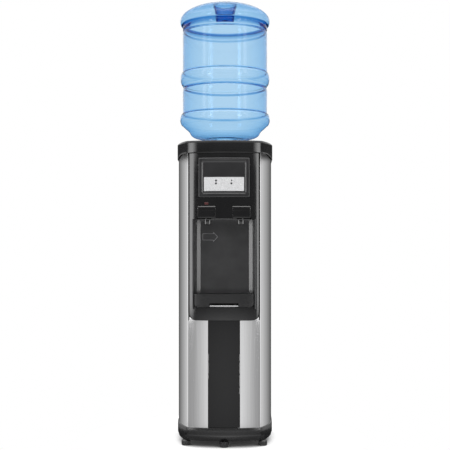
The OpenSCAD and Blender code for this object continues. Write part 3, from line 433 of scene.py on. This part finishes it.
def pipe(name, path, radius):
    """A round bar along path (n, 3) with flat ends."""
    path = np.asarray(path, float)
    ahead = np.gradient(path, axis=0)
    ahead /= np.linalg.norm(ahead, axis=1, keepdims=True)
    side_way = np.cross(ahead, [0.0, 0.0, 1.0])
    flat = np.linalg.norm(side_way, axis=1) < 1e-6
    side_way[flat] = [1.0, 0.0, 0.0]
    side_way /= np.linalg.norm(side_way, axis=1, keepdims=True)
    up_way = np.cross(side_way, ahead)
    angle = np.linspace(0, 2 * np.pi, PIPE_SIDES, endpoint=False)
    spokes = np.cos(angle)[:, None] * side_way[:, None] + np.sin(angle)[:, None] * up_way[:, None]
    return loft(name, path[:, None] + radius * spokes)


def loft(name, rings, smooth_angle=35):
    """A closed mesh through rings (n, m, 3), with a flat cap on the first and the last."""
    rings = np.asarray(rings, float)
    n, m, _ = rings.shape
    i, j = np.meshgrid(np.arange(n - 1), np.arange(m), indexing="ij")
    j2 = (j + 1) % m
    quads = np.stack([i * m + j, i * m + j2, (i + 1) * m + j2, (i + 1) * m + j], axis=-1).reshape(-1, 4)
    ends = [list(range(m)), list(range((n - 1) * m, n * m))]
    shape = bpy.data.meshes.new(name)
    shape.from_pydata(rings.reshape(-1, 3).tolist(), [], quads.tolist() + ends)
    return shaded(name, shape, smooth_angle)


PIPE_SIDES = 16
# A near-black matt finish for sheets laid where there is only shade: painted shadow.
painted_shadow_black = plastic("painted_shadow_matt", (0.003, 0.003, 0.003), 0.6, shine=0.05)


def edge_bead(name, x0, x1, z0, z1, inset, thick):
    """A thin upright strip on the cabinet's plan line, between x0 and x1 at the front."""
    line = plan_line(inset)
    line = line[(line[:, 1] < front_y + 0.04)]
    line = line[np.argsort(line[:, 0])]
    x = np.linspace(x0, x1, 9)
    face = np.stack([x, np.interp(x, line[:, 0], line[:, 1])], axis=1)
    ring = np.concatenate([face, face[::-1] + [0.0, thick]])
    return loft(name, [ring_at(ring, z) for z in (z0, z1)], 30)


# Near-black sheets in the side gaps stand in for the shade there: painted shadow.
SHADE_SHEET_INSET, SHADE_SHEET_T = 0.0033, 0.0006
for side in (-1, 1):
    for label, neighbour, near, far in (("front", "front_fascia", 0.0004, 0.0036),
                                        ("strip", "lower_strip", 0.0003, 0.0017)):
        low_end, high_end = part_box(neighbour)
        x0, x1 = sorted(side * (high_end.x + reach) for reach in (near, far))
        shade_sheet = edge_bead(f"{label}_painted_gap_shadow", x0, x1, low_end.z, high_end.z, SHADE_SHEET_INSET, SHADE_SHEET_T)
        finish(shade_sheet, "root", [], painted_shadow_black)

rib_x = np.linspace(-0.036, 0.036, 25)
nose_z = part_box("hot_paddle")[0].z - 0.004
rib = pipe("nose_rib", np.stack([rib_x, bow(rib_x, 0.0022), np.full(25, nose_z + 0.0012)], axis=1), 0.0012)
finish(rib, "root", [], gloss_black)


# ---------------------------------------------------------------------------------------------------------
# Control bezel: a satin black frame with a rolled rim, sunk in the middle round the label. One ABS moulding
# that snaps into the front from outside.
def outline_gap(x, z, half, z0, z1, r):
    """How far a point lies inside an upright rounded rectangle, negative outside."""
    over_x, over_z = np.abs(x) - (half - r), np.abs(z - (z0 + z1) / 2) - ((z1 - z0) / 2 - r)
    outside = np.hypot(np.maximum(over_x, 0), np.maximum(over_z, 0))
    return r - outside - np.minimum(np.maximum(over_x, over_z), 0)


def roll(gap, radius):
    """How far a rolled edge of this radius falls back at a distance gap inside the outline."""
    left = np.clip(radius - gap, 0, radius)
    return radius - np.sqrt(radius ** 2 - left ** 2)


def moulded_panel(name, middle, half, z0, z1, r_low, r_high, front, back, step=0.0005):
    """A panel with rounded corners. front(x, z) and back(x, z) give its two faces as y; the grid's corner
    squares are squeezed into quarter rounds by the elliptical map."""
    x, z = np.meshgrid(np.linspace(-half, half, int(2 * half / step) + 1),
                       np.linspace(z0, z1, int((z1 - z0) / step) + 1), indexing="ij")
    mid_z = (z0 + z1) / 2
    r = np.where(z < mid_z, r_low, r_high)
    a = np.maximum(np.abs(x) - (half - r), 0) / r
    c = np.maximum(np.abs(z - mid_z) - ((z1 - z0) / 2 - r), 0) / r
    x = np.sign(x) * (np.abs(x) - a * r + a * r * np.sqrt(1 - c * c / 2))
    z = mid_z + np.sign(z - mid_z) * (np.abs(z - mid_z) - c * r + c * r * np.sqrt(1 - a * a / 2))
    n, m = x.shape
    faces_at = [np.stack([middle + x, surface(middle + x, z), z], axis=-1).reshape(-1, 3)
                for surface in (front, back)]
    i, j = np.meshgrid(np.arange(n - 1), np.arange(m - 1), indexing="ij")
    quads = np.stack([i * m + j, (i + 1) * m + j, (i + 1) * m + j + 1, i * m + j + 1], axis=-1).reshape(-1, 4)
    rim = np.concatenate([np.arange(n) * m, (n - 1) * m + np.arange(1, m),
                          np.arange(n - 1)[::-1] * m + m - 1, np.arange(1, m - 1)[::-1]])
    nxt = np.roll(rim, -1)
    edge = np.stack([rim, rim + n * m, nxt + n * m, nxt], axis=-1)
    shape = bpy.data.meshes.new(name)
    shape.from_pydata(np.concatenate(faces_at).tolist(), [],
                      np.concatenate([quads, quads[:, ::-1] + n * m, edge]).tolist())
    return shaded(name, shape, 40)


bezel_low, bezel_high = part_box("control_bezel")
bezel_half, bezel_z0, bezel_z1 = bezel_high.x, bezel_low.z, bezel_high.z
RIM_SIDE, RIM_LOW, RIM_TOP, RIM_ROLL = 0.011, 0.008, 0.004, 0.0028


def bezel_front(x, z):
    """The bow, rolled back at the rim, then a shoulder and a drop into the sunk middle."""
    outer_gap = outline_gap(x, z, bezel_half, bezel_z0, bezel_z1, 0.003)
    inner_gap = outline_gap(x, z, bezel_half - RIM_SIDE, bezel_z0 + RIM_LOW, bezel_z1 - RIM_TOP, 0.002)
    raised = 1 - np.clip((np.abs(x) - 0.0604) / 0.0030, 0, 1)
    upright = ease(z, bezel_z0 + 0.012, bezel_z0 + 0.016) * (1 - ease(z, bezel_z1 - 0.014, bezel_z1 - 0.010))
    drop = 0.0020 * ease(inner_gap, 0.002, 0.004)
    return bow(x, 0.0016) + roll(outer_gap, RIM_ROLL) - 0.0004 * raised * upright + drop


def bezel_back(x, z):
    """The bow again, behind the wall."""
    return bow(x, 0.0056) + 0 * z


BEZEL_CORNER = 0.003
bezel = moulded_panel("control_bezel_moulding", 0.0, bezel_half, bezel_z0, bezel_z1,
                      BEZEL_CORNER, BEZEL_CORNER, bezel_front, bezel_back)
finish(bezel, "root", ["control_bezel"], satin_black)

# ---------------------------------------------------------------------------------------------------------
# Alcove lining: dark grey ABS, drawn narrower to the back, where two flats take the place of round corners.
liner_low, liner_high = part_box("alcove_liner")
mouth, rear, rear_y = 0.088, 0.0828, liner_high.y - 0.0024
FLAT_W, FLAT_D, LINER_T = 0.0105, 0.0036, 0.0024
inner_line = np.array([[mouth, liner_low.y + 0.001], [rear + 0.0003, rear_y - FLAT_D - 0.0006],
                       [rear - 0.0004, rear_y - FLAT_D], [rear - FLAT_W, rear_y - 0.0002],
                       [rear - FLAT_W - 0.0006, rear_y]])
outer_line = np.array([[mouth + LINER_T, liner_low.y + 0.001], [rear + LINER_T, rear_y - FLAT_D],
                       [rear - FLAT_W, rear_y + LINER_T]])
flip = np.array([-1.0, 1.0])
ring = np.concatenate([inner_line, inner_line[::-1] * flip, outer_line * flip, outer_line[::-1]])
lining = loft("alcove_lining", [ring_at(ring, z) for z in (liner_low.z, liner_high.z)], 10)
finish(lining, "root", ["alcove_liner"], lining_black)
# The side walls take the near-black matt finish instead of the grey lining: painted shade on walls that face
# away from the light.
lining.data.materials.append(matt_black)
for face in lining.data.polygons:
    face.material_index = 1 if abs(face.normal.x) > 0.95 else 0
LID_SHARE, LID_T = 0.998, 0.0014
lid_line = np.concatenate([outer_line * LID_SHARE, outer_line[::-1] * flip * LID_SHARE])
lid_line[1:-1, 1] = rear_y + 0.001
front_x = np.linspace(mouth, -mouth, 24)
lid_ring = np.concatenate([np.stack([front_x, bow(front_x, 0.0056)], axis=1), lid_line[::-1][1:-1]])
for name, z in (("alcove_floor", liner_low.z), ("alcove_roof", nose_z - 0.0008)):
    plate = loft(name, [ring_at(lid_ring, z), ring_at(lid_ring, z + LID_T)], 10)
    finish(plate, "root", [], lining_black)
badge_grey = plastic("badge_grey_abs", (0.30, 0.30, 0.31), 0.4)
finish(bench_copy("arrow_badge", 0.0002, 1), "root", ["arrow_badge"], badge_grey)

# ---------------------------------------------------------------------------------------------------------
# Control label and lights: silver film with a fine grain on the bezel, and four smoked lenses through it.
silver_film = bpy.data.materials.new("silver_film")
add = node_tree(silver_film)
spot = add("ShaderNodeTexCoord").outputs["Object"]
fleck = add("ShaderNodeTexNoise", {"Vector": spot, "Scale": 900.0, "Detail": 3.0}).outputs["Fac"]
flecked = ramp(add, fleck, [(0.35, (0.40, 0.405, 0.41)), (0.65, (0.72, 0.72, 0.73))])
bump = add("ShaderNodeBump", {"Height": fleck, "Strength": 0.3, "Distance": 0.0002})
shade = add("ShaderNodeBsdfPrincipled", {"Base Color": flecked, "Metallic": 0.25, "Roughness": 0.5,
                                         "Normal": bump.outputs[0]})
add("ShaderNodeOutputMaterial", {"Surface": shade.outputs[0]})
finish(bench_copy("control_label", 0.0001, 1), "root", ["control_label"], silver_film)
lens_black = plastic("smoked_lens", (0.005, 0.005, 0.006), 0.15)
finish(bench_copy("indicator_leds", 0.0003, 2), "root", ["indicator_leds"], lens_black)
label_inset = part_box("control_label")[0].y - front_y
led_low, led_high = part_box("indicator_leds")
ink = plastic("printed_ink", (0.012, 0.012, 0.013), 0.6)
LENS_HALF = 0.0025
round_angle = np.linspace(0, 2 * np.pi, 32, endpoint=False)
for spot_x, spot_z, spot_r in ((led_low.x, led_low.z, 0.0029), (led_low.x, led_high.z, 0.0029),
                               (led_high.x, led_low.z, 0.0029), (led_high.x, led_high.z, 0.0016)):
    centre_x = spot_x + (LENS_HALF if spot_x < 0 else -LENS_HALF)
    centre_z = spot_z + (LENS_HALF if spot_z == led_low.z else -LENS_HALF)
    dot_x, dot_z = centre_x + spot_r * np.cos(round_angle), centre_z + spot_r * np.sin(round_angle)
    rings = [np.stack([dot_x, bow(dot_x, label_inset) + back, dot_z], axis=1) for back in (-0.00008, 0.0001)]
    finish(loft("printed_surround", rings, 30), "root", [], ink)

# ---------------------------------------------------------------------------------------------------------
# Taps and paddles: moulded valve bodies with spouts through the alcove's ceiling, and a push paddle for each.
# Each spout wears a sleeve with two flats down its front.
PADDLE_HALF, PADDLE_CORNER = 0.0255, 0.0015


def paddle_front(x, z):
    """The bow, rolled at its edges, sloped back along its top, with a shallow push dish."""
    gap = outline_gap(x - paddle_mid, z, PADDLE_HALF, paddle_z0, paddle_z1, PADDLE_CORNER)
    lip = 0.0009 * np.clip((z - paddle_z1 + 0.0030) / 0.0022, 0, 1)
    dish = 0.0003 * np.clip(1 - ((z - paddle_z0 - 0.012) / 0.011) ** 2, 0, 1)
    return bow(x, 0.0026) + roll(gap, 0.0003) + lip + dish


def paddle_back(x, z):
    """The bow again, behind the pad."""
    return bow(x, 0.0055) + 0 * z


sleeve = np.array([[0.0050, -0.0090], [0.0074, -0.0082], [0.0088, -0.0064], [0.0092, -0.0040],
                   [0.0092, 0.0040], [0.0070, 0.0080], [0.0040, 0.0092]])
sleeve = np.concatenate([sleeve, sleeve[::-1] * flip])
for side_name in ("hot", "cold"):
    finish(bench_copy(f"{side_name}_tap_body", 0.0006, 2), "root", [f"{side_name}_tap_body"], gloss_black)
    paddle_low, paddle_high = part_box(f"{side_name}_paddle")
    paddle_z0, paddle_z1 = paddle_low.z, paddle_high.z
    paddle_mid = (paddle_low.x + paddle_high.x) / 2
    paddle = moulded_panel(f"{side_name}_paddle_face", paddle_mid, PADDLE_HALF, paddle_z0, paddle_z1,
                           PADDLE_CORNER, PADDLE_CORNER, paddle_front, paddle_back)
    finish(paddle, f"{side_name}_lever", [f"{side_name}_paddle"], gloss_black)
    stem_low, stem_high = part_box(f"{side_name}_stem")
    spout = np.array([(stem_low.x + stem_high.x) / 2, front_y + 0.045])
    spout_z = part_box(f"{side_name}_tap_body")[0].z
    rings = [ring_at(spout + sleeve * share, spout_z + z) for share, z in
             ((0.80, 0.0003), (0.95, 0.0), (0.985, 0.0003), (1.0, 0.001), (1.0, 0.016))]
    finish(loft(f"{side_name}_spout_sleeve", rings, 12), "root", [], gloss_black)
lock_red = plastic("child_lock_red", (0.06, 0.010, 0.010), 0.3)
lock_button = bench_copy("child_lock_button", 0.0008, 3)
finish(lock_button, "child_lock", ["child_lock_button"], lock_red)

# ---------------------------------------------------------------------------------------------------------
# Drip tray: matt black tray with a slotted gloss grille, and a satin silver grip inside its finger slot.
finish(bench_copy("drip_tray", 0.0010, 3), "tray", ["drip_tray"], matt_black)
grille = bench_copy("drip_grille", 0.0005, 2, pierced=True)
finish(grille, "grille", ["drip_grille"], gloss_black)
tray_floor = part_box("drip_tray")[0].z
# A near-black sheet above the grip stands in for the shade inside the finger slot: painted shade.
SLOT_HALF = 0.0415
slot_painted_shade = edge_bead("slot_painted_shade", -SLOT_HALF, SLOT_HALF, tray_floor + 0.0062, tray_floor + 0.0148,
                        0.0100, 0.0008)
finish(slot_painted_shade, "tray", [], painted_shadow_black)
satin_silver = brushed("satin_silver", (0.80, 0.80, 0.81), 0.25, along="x", depth=0.1)
finish(bench_copy("tray_grip", 0.0006, 3), "tray", ["tray_grip"], satin_silver)

# ---------------------------------------------------------------------------------------------------------
# Feet: four moulded rubber feet at the corners and one ribbed nylon levelling foot under the front.
rubber = plastic("moulded_rubber", (0.010, 0.010, 0.010), 0.5, grain=0.4)
nylon = plastic("ribbed_nylon", (0.009, 0.009, 0.010), 0.35, grain=0.2)
finish(bench_copy("corner_feet", 0.0008, 3), "root", ["corner_feet"], rubber)
finish(bench_copy("levelling_foot", 0.0004, 2), "front_foot", ["levelling_foot"], nylon)

# ---------------------------------------------------------------------------------------------------------
# Bottle seat, gasket and probe: a black ABS funnel carries the bottle's shoulder on a silicone ring, and a
# white polypropylene probe in its middle opens the bottle's cap.
silicone = plastic("clear_silicone", (0.62, 0.62, 0.63), 0.32, grain=0.1, coat=0.2)
white_plastic = plastic("white_polypropylene", (0.72, 0.72, 0.71), 0.38, grain=0.15)
finish(bench_copy("bottle_seat", 0.0006, 2), "root", ["bottle_seat"], matt_black)
finish(bench_copy("seat_gasket", 0.0006, 2), "root", ["seat_gasket"], silicone)
finish(bench_copy("seat_probe", 0.0006, 2), "root", ["seat_probe"], white_plastic)
finish(bench_copy("tank_baffle", 0.0006, 2), "root", ["tank_baffle"], white_plastic)

# ---------------------------------------------------------------------------------------------------------
# Valve works behind the paddles: white polypropylene stems that the paddles push, zinc-plated springs and
# pins.
zinc = brushed("zinc_plate", (0.60, 0.61, 0.63), 0.28, along="x", depth=0.15)
for side_name in ("hot", "cold"):
    stem = bench_copy(f"{side_name}_stem", 0.0004, 2)
    finish(stem, f"{side_name}_valve", [f"{side_name}_stem"], white_plastic)
finish(bench_copy("paddle_pins", 0.0003, 2), "root", ["paddle_pins"], zinc)
finish(bench_copy("tap_springs", 0.0), "root", ["tap_springs"], zinc)

# ---------------------------------------------------------------------------------------------------------
# Circuit board behind the bezel: green solder mask over fine copper tracks that run both ways.
board_green = bpy.data.materials.new("solder_mask_green")
add = node_tree(board_green)
spot = add("ShaderNodeTexCoord").outputs["Object"]
tracks = add("ShaderNodeTexVoronoi", {"Vector": spot, "Scale": 260.0},
             distance="MANHATTAN").outputs["Distance"]
mask = ramp(add, tracks, [(0.35, (0.012, 0.10, 0.035)), (0.45, (0.03, 0.19, 0.07))])
shade = add("ShaderNodeBsdfPrincipled", {"Base Color": mask, "Roughness": 0.35, "Coat Weight": 0.4})
add("ShaderNodeOutputMaterial", {"Surface": shade.outputs[0]})
finish(bench_copy("control_board", 0.0003, 2), "root", ["control_board"], board_green)

# ---------------------------------------------------------------------------------------------------------
# Tanks: drawn stainless cold and hot tanks in foam jackets, a mica band heater and two disc thermostats.
tank_steel = brushed("drawn_tank_steel", (0.58, 0.58, 0.59), 0.3, along="x", depth=0.3)
foam = plastic("jacket_foam", (0.70, 0.69, 0.62), 0.85, grain=0.9, grain_size=0.0022, shine=0.1)
mica = plastic("mica_band", (0.40, 0.35, 0.27), 0.45, grain=0.5, grain_size=0.0015)
for tank in ("cold_tank", "hot_tank"):
    finish(bench_copy(tank, 0.0008, 3), "root", [tank], tank_steel)
for jacket in ("tank_insulation", "hot_tank_cover"):
    finish(bench_copy(jacket, 0.0015, 3), "root", [jacket], foam)
finish(bench_copy("band_heater", 0.0006, 2), "root", ["band_heater"], mica)
finish(bench_copy("thermostats", 0.0006, 2), "root", ["thermostats"], matt_black)

# ---------------------------------------------------------------------------------------------------------
# Hoses and drain: translucent silicone hoses pushed over the nipples, and the drain's black screw cap behind.
for hose_name in ("cold_hose", "hot_hoses", "drain_pipe"):
    finish(bench_copy(hose_name, 0.0004, 2), "root", [hose_name], silicone)
finish(bench_copy("drain_cap", 0.0008, 3), "drain", ["drain_cap"], matt_black)

# ---------------------------------------------------------------------------------------------------------
# Base pan and tank shelf: galvanised sheet, with the zinc's crystals showing as angular patches.
galvanised = bpy.data.materials.new("galvanised_sheet")
add = node_tree(galvanised)
spot = add("ShaderNodeTexCoord").outputs["Object"]
cells = add("ShaderNodeTexVoronoi", {"Vector": spot, "Scale": 95.0}).outputs["Color"]
spangle = ramp(add, cells, [(0.2, (0.42, 0.44, 0.46)), (0.8, (0.60, 0.62, 0.64))])
patch = ramp(add, cells, [(0.2, 0.30), (0.8, 0.48)])
shade = add("ShaderNodeBsdfPrincipled", {"Base Color": spangle, "Metallic": 1.0, "Roughness": patch})
add("ShaderNodeOutputMaterial", {"Surface": shade.outputs[0]})
for sheet_part in ("base_pan", "tank_shelf"):
    finish(bench_copy(sheet_part, 0.0004, 2), "root", [sheet_part], galvanised)

# ---------------------------------------------------------------------------------------------------------
# Cooling: an enamelled compressor on rubber grommets and zinc bolts, with its start relay, the copper coil
# round the cold tank, the copper drier, and a wire-on-tube condenser that stands off the back on two straps.
compressor_enamel = plastic("compressor_enamel", (0.014, 0.014, 0.015), 0.28, grain=0.5, grain_size=0.0012,
                            coat=0.3)
condenser_enamel = plastic("condenser_enamel", (0.016, 0.016, 0.017), 0.42, grain=0.3)
copper = brushed("copper_tube", (0.78, 0.42, 0.28), 0.24, along="x", depth=0.1)
finish(bench_copy("compressor", 0.0010, 3), "root", ["compressor"], compressor_enamel)
finish(bench_copy("start_relay", 0.0015, 3), "root", ["start_relay"], matt_black)
finish(bench_copy("compressor_grommets", 0.0006, 2), "root", ["compressor_grommets"], rubber)
finish(bench_copy("compressor_bolts", 0.0004, 2), "root", ["compressor_bolts"], zinc)
for copper_part in ("evaporator_coil", "filter_drier"):
    finish(bench_copy(copper_part, 0.0003, 2), "root", [copper_part], copper)
for rack_part in ("condenser_tube", "condenser_wires", "condenser_straps"):
    finish(bench_copy(rack_part, 0.0002, 1), "root", [rack_part], condenser_enamel)

# ---------------------------------------------------------------------------------------------------------
# Rear panel: powder-coated sheet with louvres and the compressor's window, held by zinc screws. It carries
# the power inlet and the plate with the hot and cold rocker switches.
powder = plastic("rear_powder_coat", (0.030, 0.030, 0.032), 0.5, grain=0.8, grain_size=0.0010)
switch_red = plastic("switch_red", (0.38, 0.012, 0.012), 0.25, grain=0.05)
switch_green = plastic("switch_green", (0.012, 0.22, 0.05), 0.25, grain=0.05)
finish(bench_copy("rear_panel", 0.0004, 2, pierced=True), "root", ["rear_panel"], powder)
finish(bench_copy("rear_screws", 0.0003, 2), "root", ["rear_screws"], zinc)
finish(bench_copy("power_inlet", 0.0006, 2), "root", ["power_inlet"], matt_black)
finish(bench_copy("switch_plate", 0.0006, 2), "root", ["switch_plate"], matt_black)
finish(bench_copy("hot_switch", 0.0006, 3), "hot_rocker", ["hot_switch"], switch_red)
finish(bench_copy("cold_switch", 0.0006, 3), "cold_rocker", ["cold_switch"], switch_green)

# ---------------------------------------------------------------------------------------------------------
# Bottle: blown from clear blue polycarbonate with a wall of about two millimetres. Two bulged bands and fine
# grooves stiffen the body, and the pushed-in punt in its base points down when it stands on its neck.
bottle_low, bottle_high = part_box("bottle")[0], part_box("bottle_base")[1]
shoulder = bottle_low.z + 0.066
BODY_R, BAND_R, BOTTLE_WALL = 0.126, 0.134, 0.0018
DOME_H, PUNT_R, PUNT_H = 0.053, 0.029, 0.040
dome_z = bottle_high.z - DOME_H


def bulge(z0, z1, r0, r1, count):
    """A rounded band: radius rises from r0 to r1 and back as the root of a half sine between z0 and z1."""
    t = np.linspace(0, 1, count)
    return np.stack([r0 + (r1 - r0) * np.sqrt(np.abs(np.sin(np.pi * t))), z0 + (z1 - z0) * t], axis=1)


def through(points, per_span=6):
    """A smooth line through points: Catmull-Rom spans, with mirrored points past both ends."""
    p = np.asarray(points, float)
    p = np.concatenate([[2 * p[0] - p[1]], p, [2 * p[-1] - p[-2]]])
    t = np.linspace(0, 1, per_span, endpoint=False)[:, None]
    spans = [0.5 * (2 * p[k] + (p[k + 1] - p[k - 1]) * t
                    + (2 * p[k - 1] - 5 * p[k] + 4 * p[k + 1] - p[k + 2]) * t ** 2
                    + (3 * p[k] - p[k - 1] - 3 * p[k + 1] + p[k + 2]) * t ** 3) for k in range(1, len(p) - 2)]
    return np.concatenate(spans + [p[-2:-1]])


b = shoulder
lower_neck = through([(0.0275, bottle_low.z), (0.0275, b - 0.02), (0.0275, b + 0.004), (0.0285, b + 0.0085),
                      (0.033, b + 0.0102), (0.050, b + 0.0108), (0.062, b + 0.011), (0.085, b + 0.015),
                      (0.096, b + 0.0195), (0.102, b + 0.025), (0.105, b + 0.031), (0.110, b + 0.037),
                      (0.117, b + 0.043), (0.1235, b + 0.049)])
dome_angle = np.radians(np.linspace(8, 74, 18))
heel_angle = np.radians(np.linspace(-90, 0, 8))
outer = np.concatenate([
    lower_neck,
    bulge(b + 0.052, b + 0.088, BODY_R, BAND_R, 22),
    through([(BODY_R, b + 0.092), (BODY_R, b + 0.12), (BODY_R, b + 0.156), (BODY_R - 0.0028, b + 0.164),
             (BODY_R, b + 0.169)], 5),
    bulge(b + 0.172, b + 0.211, BODY_R, BAND_R - 0.001, 22),
    through([(BODY_R, b + 0.216), (BODY_R, b + 0.26), (BODY_R, b + 0.300), (BODY_R, b + 0.327),
             (BODY_R - 0.0018, b + 0.332), (BODY_R, b + 0.336)], 5),
    np.stack([BAND_R - 0.008 + 0.008 * np.cos(heel_angle), dome_z + 0.015 * np.sin(heel_angle)], axis=1),
    np.stack([BAND_R * np.cos(dome_angle), dome_z + DOME_H * np.sin(dome_angle)], axis=1),
    through([(PUNT_R + 0.006, dome_z + DOME_H * 0.985), (PUNT_R + 0.001, dome_z + DOME_H - 0.003),
             (PUNT_R - 0.0045, dome_z + DOME_H - 0.02), (PUNT_R - 0.007, dome_z + DOME_H - 0.036),
             (PUNT_R - 0.012, dome_z + DOME_H - PUNT_H), (0.0004, dome_z + DOME_H - PUNT_H)], 5)])
slope = np.gradient(outer, axis=0)
slope /= np.linalg.norm(slope, axis=1, keepdims=True)
beads = [(dome_z - 0.015, 0.008, 0.0025), (b + 0.164, 0.006, 0.0014), (b + 0.332, 0.004, 0.0011),
         (b + 0.211, 0.002, 0.002), (b + 0.088, 0.003, 0.002), (bottle_low.z + 0.04, 0.0030, 0.032)]
wall = BOTTLE_WALL + sum(extra * np.exp(-((outer[:, 1] - z) / spread) ** 2) for z, extra, spread in beads)
wall = np.where((outer[:, 0] < PUNT_R + 0.006) & (outer[:, 1] > dome_z), 0.0060, wall)
inner = outer + wall[:, None] * np.stack([-slope[:, 1], slope[:, 0]], axis=1)
inner[:, 0] = np.maximum(inner[:, 0], 0.0004)
section = np.concatenate([outer, inner[::-1]])


def lathe(name, section, centre_y, count=144, smooth_angle=50):
    """A closed section of (radius, height) turned round the upright axis at centre_y."""
    angle = np.linspace(0, 2 * np.pi, count, endpoint=False)
    rings = np.stack([section[:, :1] * np.cos(angle), centre_y + section[:, :1] * np.sin(angle),
                      np.repeat(section[:, 1:], count, axis=1)], axis=-1)
    return closed_grid(name, rings, smooth_angle)


clear_blue = bpy.data.materials.new("blue_polycarbonate")
add = node_tree(clear_blue)
spot = add("ShaderNodeTexCoord").outputs["Object"]
ripple = add("ShaderNodeTexNoise", {"Vector": spot, "Scale": 22.0, "Detail": 2.0}).outputs["Fac"]
bump = add("ShaderNodeBump", {"Height": ripple, "Strength": 0.25, "Distance": 0.002})
facing_z = add("ShaderNodeSeparateXYZ", {0: add("ShaderNodeNewGeometry").outputs["Normal"]}).outputs["Z"]
steepness = add("ShaderNodeMath", {0: facing_z}, operation="ABSOLUTE").outputs[0]
upright = ramp(add, steepness, [(0.25, 0.6), (0.6, 0.04)])
shade = add("ShaderNodeBsdfPrincipled", {"Base Color": (0.93, 0.97, 1.0, 1.0), "Roughness": 0.03, "IOR": 1.08,
                                         "Coat Weight": upright, "Coat Roughness": 0.03,
                                         "Transmission Weight": 1.0, "Normal": bump.outputs[0]})
tint = add("ShaderNodeVolumeAbsorption", {"Color": (0.02, 0.51, 0.81, 1.0), "Density": 205.0})
add("ShaderNodeOutputMaterial", {"Surface": shade.outputs[0], "Volume": tint.outputs[0]})
finish(lathe("bottle_shell", section, axis_y), "bottle", ["bottle", "bottle_base"], clear_blue)
cap_blue = plastic("cap_blue_polyethylene", (0.02, 0.10, 0.42), 0.4)
finish(bench_copy("bottle_cap", 0.0008, 3), "bottle", ["bottle_cap"], cap_blue)
